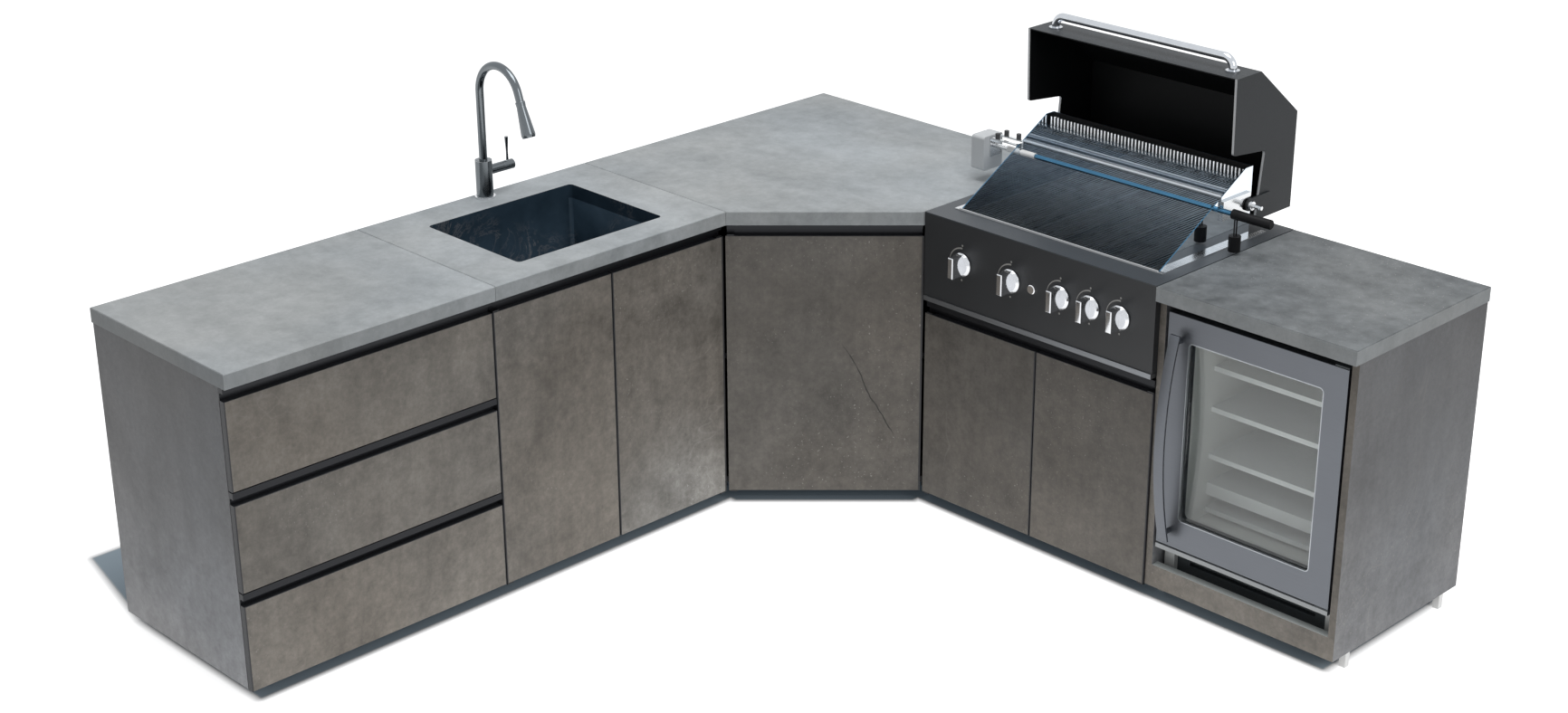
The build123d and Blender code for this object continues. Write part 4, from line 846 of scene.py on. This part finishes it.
class KITCHEN_OT_grill_shell(Operator):
    """Paint the grill's lid, firebox, upper walls and spit brackets face by face"""

    bl_idname = "kitchen.grill_shell"
    bl_label = "Grill shell"

    def execute(self, context):
        # The lid's box ends at its hinge arms, which stand out a little from its side plates
        arm, lip_width, cut_lap = 0.0045, 0.008, 0.0005
        # The lip ends where the plates' round inner corner turns away
        lip_looks = 0.7
        lid_low, lid_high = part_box("grill_lid")
        lip_outside = (lid_high.x - lid_low.x) / 2 - arm
        lip_inside = lip_outside - lip_width

        def lid_face(centre, normal):
            """Black enamel inside, bright strips on the front edges of the sides, grey coat outside."""
            side = centre.x - GRILL_MID
            if lip_inside < abs(side) < lip_outside and normal.y < -lip_looks:
                return "lip"
            if abs(normal.x) > SQUARE:
                return "enamel" if normal.x * side < 0 else "lid_coat"
            return "enamel" if normal.z < -LEANS or normal.y < -LEANS else "lid_coat"

        grate_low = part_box("cooking_grates")[0].z
        lip_foot = RIM_TOP + 0.0002
        lip_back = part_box("grill_firebox")[0].y + 0.004

        def firebox_face(centre, normal):
            """Bright lip and strips above the rim, polished walls down to the grates, burnt steel below."""
            if centre.z > lip_foot:
                return "lip" if centre.y < lip_back else "firebox_steel"
            return "mirror_steel" if centre.z > grate_low and abs(normal.z) < LOOKS else "burnt"

        rack_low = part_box("warming_rack")[0].z
        edge_looks = 0.3

        def wall_face(centre, normal):
            """Blue cut edges round the polished walls, and painted shade behind the rack: black enamel on the
            polished back wall.
            """
            if normal.z > edge_looks:
                return "spit_steel"
            # Painted shade: the back wall's face above the rack's foot is black
            return "enamel" if centre.z > rack_low and normal.y < -LOOKS else "mirror_steel"

        nut_height = 0.0155
        nut_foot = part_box("spit_brackets")[1].z - nut_height

        def bracket_face(centre, normal):
            """Dark thumb nuts on the motor's bracket."""
            on_top = centre.z > nut_foot and centre.x < GRILL_MID
            return "thumb_nut" if on_top else "bracket_steel"

        def level_cut(height):
            """A level plane to split a piece by."""
            return Vector((0, 0, height)), (0, 0, 1)

        from_middle = lip_inside + cut_lap
        lid_cuts = [(Vector((GRILL_MID + way * from_middle, 0, 0)), (1, 0, 0)) for way in (-1, 1)]
        painted_copy("grill_lid", lid_face, cuts=lid_cuts)
        painted_copy("grill_firebox", firebox_face, cuts=[level_cut(grate_low), level_cut(RIM_TOP)])
        painted_copy("grill_upper_walls", wall_face, cuts=[level_cut(rack_low)])
        painted_copy("spit_brackets", bracket_face)
        return {"FINISHED"}


class KITCHEN_OT_fridge_bay(Operator):
    """Paint the fridge's cabinet, the feet and the panels round the fridge face by face"""

    bl_idname = "kitchen.fridge_bay"
    bl_label = "Fridge bay"

    def execute(self, context):
        door_low, door_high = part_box("fridge_door")
        case_low, case_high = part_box("fridge_cabinet")
        bay_low, bay_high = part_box("fridge_side_panels")
        liner_front, liner_foot = door_high.y + 0.0045, door_low.z - 0.003
        sill_low, sill_high = door_low.z - 0.02, door_low.z - 0.001
        sill_end = door_high.x - 0.045
        shell = 0.004

        def cabinet_face(centre, normal):
            """Dark plinth, hinges and outside, a grey sill under the door, and a pale liner."""
            before_liner = centre.y < liner_front
            if before_liner and sill_low < centre.z < sill_high and abs(normal.x) < LOOKS:
                return "sill" if centre.x < sill_end else "plinth"
            outside = min(centre.x - case_low.x, case_high.x - centre.x) < shell
            return "plinth" if before_liner or outside or centre.z < liner_foot else "fridge_case"

        def foot_face(centre, normal):
            """White glides under the fridge's side panels, dark feet elsewhere."""
            under_panel = min(abs(centre.x - bay_low.x), abs(bay_high.x - centre.x)) < GLIDE_REACH
            return "sleeve" if under_panel else "foot_plastic"

        def bay_face(centre, normal):
            """Front stone on the front edges of the side panels."""
            return "fridge_base_panel" if normal.y < -LOOKS else "fridge_side_panels"

        def base_face(centre, normal):
            """Painted light on the panel under the fridge: a pale top where light falls from above."""
            return "painted_lit_top" if normal.z > LOOKS else "fridge_base_panel"

        painted_copy("fridge_cabinet", cabinet_face)
        painted_copy("levelling_feet", foot_face)
        painted_copy("fridge_side_panels", bay_face)
        painted_copy("fridge_base_panel", base_face)
        return {"FINISHED"}


class KITCHEN_OT_worktops(Operator):
    """Give the left end panel and the worktops their edges"""

    bl_idname = "kitchen.worktops"
    bl_label = "Worktops"

    def execute(self, context):
        rim = 0.02
        sink_low, sink_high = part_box("worktop_sink")

        def end_face(centre, normal):
            """A dark edge band on the front edge of the left end panel."""
            return "end_edge" if normal.x > LOOKS else "end_panel_left"

        def sink_top_face(centre, normal):
            """The bowl's black up to the top of the cut-out."""
            inside_x = sink_low.x + rim < centre.x < sink_high.x - rim
            inside_y = sink_low.y + rim < centre.y < sink_high.y - rim
            if abs(normal.z) < LOOKS and inside_x and inside_y:
                return "sink_black"
            return "worktop_sink" if normal.z > LOOKS else "worktop_sink_edge"

        painted_copy("end_panel_left", end_face)
        painted_copy("worktop_sink", sink_top_face)
        for top in ("worktop_drawers", "worktop_corner", "worktop_fridge"):

            def top_face(centre, normal):
                """Stone on top, and the edges' own tone of it elsewhere."""
                return top if normal.z > LOOKS else top + "_edge"

            painted_copy(top, top_face)
        return {"FINISHED"}


class KITCHEN_OT_fronts(Operator):
    """Give the drawers and doors dark edges and close up the corners beside the diagonal door"""

    bl_idname = "kitchen.fronts"
    bl_label = "Fronts"

    def execute(self, context):
        along_x, along_y = Vector((1, 0, 0)), Vector((0, 1, 0))
        to_room = (along_x - along_y).normalized()
        to_right = (along_x + along_y).normalized()
        facing = {name: along_x for name in FRONTS if name.startswith(("drawer", "sink"))}
        facing.update({name: -along_y for name in FRONTS if name.startswith("grill")})
        facing["corner_door"] = to_room
        widened = {
            "sink_door_right": [along_y],
            "corner_door": [to_right, -to_right],
            "grill_door_left": [-along_x],
        }
        for node, outward in facing.items():
            wide = widened.get(node, ())
            along = Vector((-outward.y, outward.x, 0))
            bands = []
            for side in (along, -along):
                if all(side.dot(other) < SQUARE for other in wide):
                    edge = max(vert.co.dot(side) for vert in NODES[node].data.vertices)
                    bands.append((side, edge - JOINT_BAND))

            def front_face(centre, normal):
                """Stone on the face, laminate behind, and dark edges that show as a joint."""
                if normal.dot(outward) > SQUARE:
                    in_joint = any(centre.dot(side) > start for side, start in bands)
                    return "front_edge" if in_joint else node
                return "carcass_board" if normal.dot(outward) < -SQUARE else "front_edge"

            strips = [edge_strip(node, outward, side) for side in wide]
            painted_copy(node, front_face, strips, [(side * start, side) for side, start in bands])
        return {"FINISHED"}


class KITCHEN_OT_grates(Operator):
    """Lay the cooking grates: rows of round bars on two cross bars"""

    bl_idname = "kitchen.grates"
    bl_label = "Cooking grates"

    def execute(self, context):
        sizes = context.scene.kitchen_wire
        low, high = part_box("cooking_grates")
        sections, radius = sizes.grate_sections, sizes.grate_radius
        span = (high.x - low.x) / sections
        gap, seat = 0.002, 0.0018
        top, foot = high.z - radius, low.z + radius
        steel = FINISH["grate_steel"]
        meshes = []
        for section in range(sections):
            left = low.x + section * span + radius + (gap if section else 0)
            right = low.x + (section + 1) * span - radius - (gap if section < sections - 1 else 0)
            count = round((right - left) / sizes.grate_pitch)
            pitch = (right - left) / count
            bar = [(left, low.y - seat, top), (left, high.y + seat, top)]
            meshes.append(wire_row("grate_bars", bar, radius, steel, count + 1, pitch))
            for y in (low.y + 2 * radius, high.y - 2 * radius):
                cross = [(left - radius, y, foot), (right + radius, y, foot)]
                meshes.append(wire_row("grate_cross", cross, radius, steel))
        keep_piece("grate_bars", joined("grate_bars", meshes), "kitchen", "grate_steel", "cooking_grates")
        return {"FINISHED"}


class KITCHEN_OT_rack(Operator):
    """Bend the warming rack from a row of wires on two long bars, with uprights along its back; the wires and
    bars take the dark grate steel as painted shade under the lid, the uprights chrome
    """

    bl_idname = "kitchen.rack"
    bl_label = "Warming rack"

    def execute(self, context):
        sizes = context.scene.kitchen_wire
        low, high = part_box("warming_rack")
        radius, thick = sizes.rack_radius, sizes.rack_upright
        margin, lip, bend, bar_inset = 0.010, 0.009, 0.004, 0.006
        span = high.x - low.x - 2 * margin
        count = round(span / sizes.rack_pitch)
        pitch = span / count
        left, foot = low.x + margin, low.z + radius
        front, back = low.y + radius, high.y - radius
        # The wires sink a little into the bars that they lie on
        wire_rise = 2.4
        floor = low.z + wire_rise * radius
        # The wires and bars take the dark grate steel as painted shade under the lid; the real wires are
        # chrome like the uprights
        chrome, steel = FINISH["rack_chrome"], FINISH["grate_steel"]
        upright = [(left, high.y - thick, high.z), (left, high.y - thick, foot)]
        wire = [(left, front, low.z + lip), (left, front, floor), (left, back, floor)]
        meshes = [
            wire_row("rack_uprights", upright, thick, chrome, count + 1, pitch),
            wire_row("rack_wires", wire, radius, steel, count + 1, pitch, bend),
        ]
        for y in (front + bar_inset, back - bar_inset):
            bar = [(low.x, y, foot), (high.x, y, foot)]
            meshes.append(wire_row("rack_bar", bar, radius, steel))
        keep_piece("rack_wires", joined("rack_wires", meshes), "kitchen", "rack_chrome", "warming_rack")
        return {"FINISHED"}


class KITCHEN_OT_dials(Operator):
    """Print the arcs and ticks round the knobs"""

    bl_idname = "kitchen.dials"
    bl_label = "Dial marks"

    def execute(self, context):
        sizes = context.scene.kitchen_print
        face = PANEL_LOW.y - sizes.lift
        arc_start, arc_turn, arc_steps, taper = 90, 90, 18, 0.75
        tick_corners = range(0, 360, 30)
        tick_heights = sizes.arc_radius + 0.008, -sizes.arc_radius - 0.001
        verts, faces = [], []

        def fill(points):
            """Add a closed outline in the panel's plane as one face."""
            start = len(verts)
            verts.extend((x, face, z) for x, z in points)
            faces.append(tuple(range(start, start + len(points))))

        for node in KNOBS:
            low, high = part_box(node)
            x, z = (low.x + high.x) / 2, (low.z + high.z) / 2
            for step in range(arc_steps):
                ends = []
                for part in (step / arc_steps, (step + 1) / arc_steps):
                    half = sizes.arc_width / 2 * (1 - taper * part)
                    for radius in (sizes.arc_radius - half, sizes.arc_radius + half):
                        ends.append(on_circle(x, z, radius, arc_start + arc_turn * part))
                fill([ends[0], ends[1], ends[3], ends[2]])
            for height in tick_heights:
                fill([on_circle(x, z + height, sizes.tick_size / 2, angle) for angle in tick_corners])
        mesh = mesh_from("dial_marks", verts, faces, FINISH["print"])
        keep_piece("dial_marks", mesh, "kitchen", "anthracite")
        return {"FINISHED"}


class KITCHEN_OT_spit_sleeve(Operator):
    """Put the white sleeves on the spit, one on each side of the left wall"""

    bl_idname = "kitchen.spit_sleeve"
    bl_label = "Spit sleeve"

    def execute(self, context):
        radius, bevel, smooth_angle = 0.0088, 0.0012, math.radians(40)
        # Start and end of each sleeve, from the left wall's outside
        spans = (-0.044, -0.006), (0.005, 0.055)
        low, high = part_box("spit_rod")
        work = bmesh.new()
        for start, end in spans:
            middle = Vector((WALL_LOW.x + (start + end) / 2, (low.y + high.y) / 2, (low.z + high.z) / 2))
            turn = Matrix.Translation(middle) @ Matrix.Rotation(math.pi / 2, 4, "Y")
            size = {"segments": 32, "radius1": radius, "radius2": radius, "depth": end - start}
            bmesh.ops.create_cone(work, cap_ends=True, matrix=turn, **size)
        soften(work, [edge for edge in work.edges if edge.calc_face_angle(0) > 1], bevel)
        mesh = mesh_of("spit_sleeve", work, [FINISH["sleeve"]])
        shade_round(mesh, smooth_angle)
        keep_piece("spit_sleeve", mesh, "spit", "spit_steel")
        return {"FINISHED"}


class KITCHEN_OT_window_frame(Operator):
    """Line the fridge window with a bright frame"""

    bl_idname = "kitchen.window_frame"
    bl_label = "Window frame"

    def execute(self, context):
        low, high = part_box("fridge_glass")
        recess, gap, width, corner, steps = 0.0004, 0.0002, 0.0028, 0.014, 8
        front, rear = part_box("fridge_door")[0].y + recess, low.y - gap
        left, right, foot, top = low.x + corner, high.x - corner, low.z + corner, high.z - corner

        def outline(inset):
            """Points round a rectangle with round corners, at a distance inside the window."""
            return [
                on_circle(x, z, corner - inset, start + 90 * step / steps)
                for x, z, start in ((right, top, 0), (left, top, 90), (left, foot, 180), (right, foot, 270))
                for step in range(steps + 1)
            ]

        rings = outline(gap), outline(gap + width)
        count = len(rings[0])
        verts = [(x, y, z) for y in (front, rear) for ring in rings for x, z in ring]
        faces = []
        for i in range(count):
            j = (i + 1) % count
            for a, b in ((0, 1), (1, 3), (3, 2), (2, 0)):
                faces.append((a * count + i, a * count + j, b * count + j, b * count + i))
        mesh = mesh_from("window_frame", verts, faces, FINISH["window_frame"])
        keep_piece("window_frame", mesh, "cold_door", "fridge_steel")
        return {"FINISHED"}


class KITCHEN_OT_fridge_seal(Operator):
    """Fit the fridge door's rubber seal"""

    bl_idname = "kitchen.fridge_seal"
    bl_label = "Fridge seal"

    def execute(self, context):
        low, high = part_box("fridge_door")
        depth, width, inset, bevel = 0.0042, 0.012, 0.012, 0.0012
        x0, x1 = low.x + inset, high.x - inset
        z0, z1 = low.z + inset, high.z - inset
        work = bmesh.new()
        for left, foot, right, top in (
            (x0, z0, x1, z0 + width),
            (x0, z1 - width, x1, z1),
            (x0, z0 + width, x0 + width, z1 - width),
            (x1 - width, z0 + width, x1, z1 - width),
        ):
            slab(work, Vector((left, high.y, foot)), Vector((right, high.y + depth, top)), bevel)
        mesh = mesh_of("fridge_seal", work, [FINISH["rubber"]])
        keep_piece("fridge_seal", mesh, "cold_door", "foot_plastic")
        return {"FINISHED"}


def seen_directly(tree):
    """1 for camera, mirror and glass rays, 0 for the rays that carry light to surfaces."""
    path = tree.nodes.new("ShaderNodeLightPath").outputs
    return chain(tree, "MAXIMUM", path["Is Camera Ray"], path["Is Glossy Ray"], path["Is Transmission Ray"])


def distance_from_wing(tree, where, low, high):
    """Distance on the floor from the painted shadow patch under a wing, which leans behind the left wing."""
    middle, half = (low + high) / 2, (high - low) / 2
    x, y, _ = split(tree, where)
    behind = math_node(tree, "MINIMUM", math_node(tree, "SUBTRACT", x, CORNER.x), 0.0)
    leaning = math_node(tree, "ADD", y, math_node(tree, "MULTIPLY", behind, SHADOW_LEAN))
    squares = []
    for axis, place in enumerate((x, leaning)):
        off = math_node(tree, "SUBTRACT", apart(tree, place, middle[axis]), half[axis] - FLOOR_INSET)
        gap = math_node(tree, "MAXIMUM", off, 0.0)
        squares.append(math_node(tree, "MULTIPLY", gap, gap))
    return math_node(tree, "SQRT", chain(tree, "ADD", *squares))


def distance_from_shade(tree, where):
    """Distance on the floor from the painted shadow under both wings and the corner with its cut-off front.
    """
    left_low, left_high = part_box("worktop_drawers")
    right_low, right_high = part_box("worktop_fridge")
    shadow = Vector((SHADOW_REACH + FLOOR_INSET, 0, 0))
    left = distance_from_wing(tree, where, left_low - shadow, Vector((left_high.x, CORNER.y, 0)))
    right = distance_from_wing(tree, where, Vector((CORNER.x, right_low.y, 0)), right_high)
    square = distance_from_wing(tree, where, CORNER_LOW, CORNER_HIGH)
    x, y, _ = split(tree, where)
    reach = left_high.x + CORNER_HIGH.x - 2 * CORNER.x
    past = math_node(tree, "SUBTRACT", math_node(tree, "SUBTRACT", x, y), CORNER.x - CORNER.y + reach)
    diagonal = math_node(tree, "ADD", math_node(tree, "DIVIDE", past, math.sqrt(2)), FLOOR_INSET)
    return chain(tree, "MINIMUM", left, right, math_node(tree, "MAXIMUM", square, diagonal))


def floor_material(name):
    """A pale floor that is white away from the kitchen, with a painted shadow under it and beside it."""
    material, tree, shader, where = fresh_material(name)
    pale, white, dull = (0.93, 0.93, 0.93), (0.95, 0.95, 0.95), (0.06, 0.06, 0.06)
    # Colour and glow of the painted shadow
    shade_colour, shade_glow = (0.42, 0.50, 0.56), (0.016, 0.021, 0.026)
    near = distance_from_shade(tree, where)
    seen = seen_directly(tree)
    outside = spread(tree, near, 0.0, 0.008)
    clean = mix_colour(tree, noise(tree, where, 0.4, 2), pale, white)
    shaded = mix_colour(tree, outside, shade_colour, clean)
    glow = mix_colour(tree, outside, shade_glow, spread(tree, near, 0.004, 0.030, 0.0, 0.80))
    # Light that the floor throws up on the panels, most of it from close by
    close_by = spread(tree, near, 0.25, 0.9, 1.0, 0.05)
    bounce = math_node(tree, "MULTIPLY", spread(tree, near, 0.0, 0.03), close_by)
    values = {
        "Base Color": mix_colour(tree, seen, dull, shaded),
        "Roughness": 0.9,
        "Specular IOR Level": 0.0,
        "Emission Color": mix_colour(tree, seen, bounce, glow),
        "Emission Strength": 1.0,
    }
    feed(tree, shader, values)
    return material


def add_floor(scene):
    """Lay the floor."""
    half = FLOOR_HALF
    verts = [(-half, -half, 0), (half, -half, 0), (half, half, 0), (-half, half, 0)]
    mesh = mesh_from("floor", verts, [(0, 1, 2, 3)], floor_material("pale_floor"))
    floor = bpy.data.objects.new("floor", mesh)
    scene.collection.objects.link(floor)


def add_world(scene):
    """A white surround that sheds less light than it shows."""
    world = bpy.data.worlds.new("studio")
    scene.world = world
    world.use_nodes = True
    tree = world.node_tree
    strength = spread(tree, seen_directly(tree), 0.0, 1.0, 0.30, 1.0)
    feed(tree, tree.nodes["Background"], {"Color": (0.96, 0.98, 1.0, 1), "Strength": strength})


def add_turned(scene, name, data, place, turn):
    """Link a lamp or the camera at a place, turned by a quaternion."""
    holder = bpy.data.objects.new(name, data)
    holder.location = place
    holder.rotation_mode = "QUATERNION"
    holder.rotation_quaternion = turn
    scene.collection.objects.link(holder)
    return holder


def add_softbox(scene, name, place, aim, size, power):
    """A square area lamp aimed at a point."""
    lamp = bpy.data.lights.new(name, "AREA")
    lamp.shape = "SQUARE"
    lamp.size = size
    lamp.energy = power
    add_turned(scene, name, lamp, place, (Vector(aim) - Vector(place)).to_track_quat("-Z", "Y"))


def add_camera(scene):
    """The camera that the photo was matched with."""
    camera = bpy.data.cameras.new("camera")
    for key, value in CAMERA_LENS.items():
        setattr(camera, key, value)
    azimuth, elevation, roll = (math.radians(angle) for angle in CAMERA_ANGLES)
    turn = Matrix.Rotation(azimuth, 3, "Z") @ Matrix.Rotation(math.pi / 2 - elevation, 3, "X")
    turn = turn @ Matrix.Rotation(roll, 3, "Z")
    scene.camera = add_turned(scene, "camera", camera, CORNER + CAMERA_PLACE, turn.to_quaternion())


class KITCHEN_OT_stage(Operator):
    """Set the pale floor, the soft lights and the camera"""

    bl_idname = "kitchen.stage"
    bl_label = "Stage"

    def execute(self, context):
        scene = context.scene
        scene.view_settings.view_transform = "Standard"
        add_floor(scene)
        add_world(scene)
        for name, values in SOFTBOXES.items():
            add_softbox(scene, name, *values)
        add_camera(scene)
        return {"FINISHED"}


class KITCHEN_PT_sidebar(Panel):
    """Lists the kitchen's pieces and their sizes"""

    bl_label = "Outdoor kitchen"
    bl_space_type = "VIEW_3D"
    bl_region_type = "UI"
    bl_category = "Kitchen"

    def draw(self, context):
        layout = self.layout
        for operator in OPERATORS:
            layout.operator(operator.bl_idname)
        for name, group in GROUPS.items():
            box = layout.box()
            for key in group.__annotations__:
                box.prop(getattr(context.scene, name), key)


GROUPS = {
    "kitchen_stone": KitchenStone,
    "kitchen_metal": KitchenMetal,
    "kitchen_wire": KitchenWire,
    "kitchen_print": KitchenPrint,
}
OPERATORS = (
    KITCHEN_OT_finishes,
    KITCHEN_OT_round_pieces,
    KITCHEN_OT_grill_shell,
    KITCHEN_OT_fridge_bay,
    KITCHEN_OT_worktops,
    KITCHEN_OT_fronts,
    KITCHEN_OT_grates,
    KITCHEN_OT_rack,
    KITCHEN_OT_dials,
    KITCHEN_OT_spit_sleeve,
    KITCHEN_OT_window_frame,
    KITCHEN_OT_fridge_seal,
    KITCHEN_OT_stage,
)


def register():
    """Make the property groups, the operators and the sidebar known to Blender."""
    for name, group in GROUPS.items():
        bpy.utils.register_class(group)
        setattr(bpy.types.Scene, name, PointerProperty(type=group))
    for operator in OPERATORS:
        bpy.utils.register_class(operator)
    bpy.utils.register_class(KITCHEN_PT_sidebar)


def unregister():
    """Take them away again."""
    bpy.utils.unregister_class(KITCHEN_PT_sidebar)
    for operator in reversed(OPERATORS):
        bpy.utils.unregister_class(operator)
    for name, group in GROUPS.items():
        delattr(bpy.types.Scene, name)
        bpy.utils.unregister_class(group)


def main():
    """Dress the kitchen."""
    register()
    for operator in OPERATORS:
        group, name = operator.bl_idname.split(".")
        getattr(getattr(bpy.ops, group), name)()


if __name__ == "__main__":
    main()
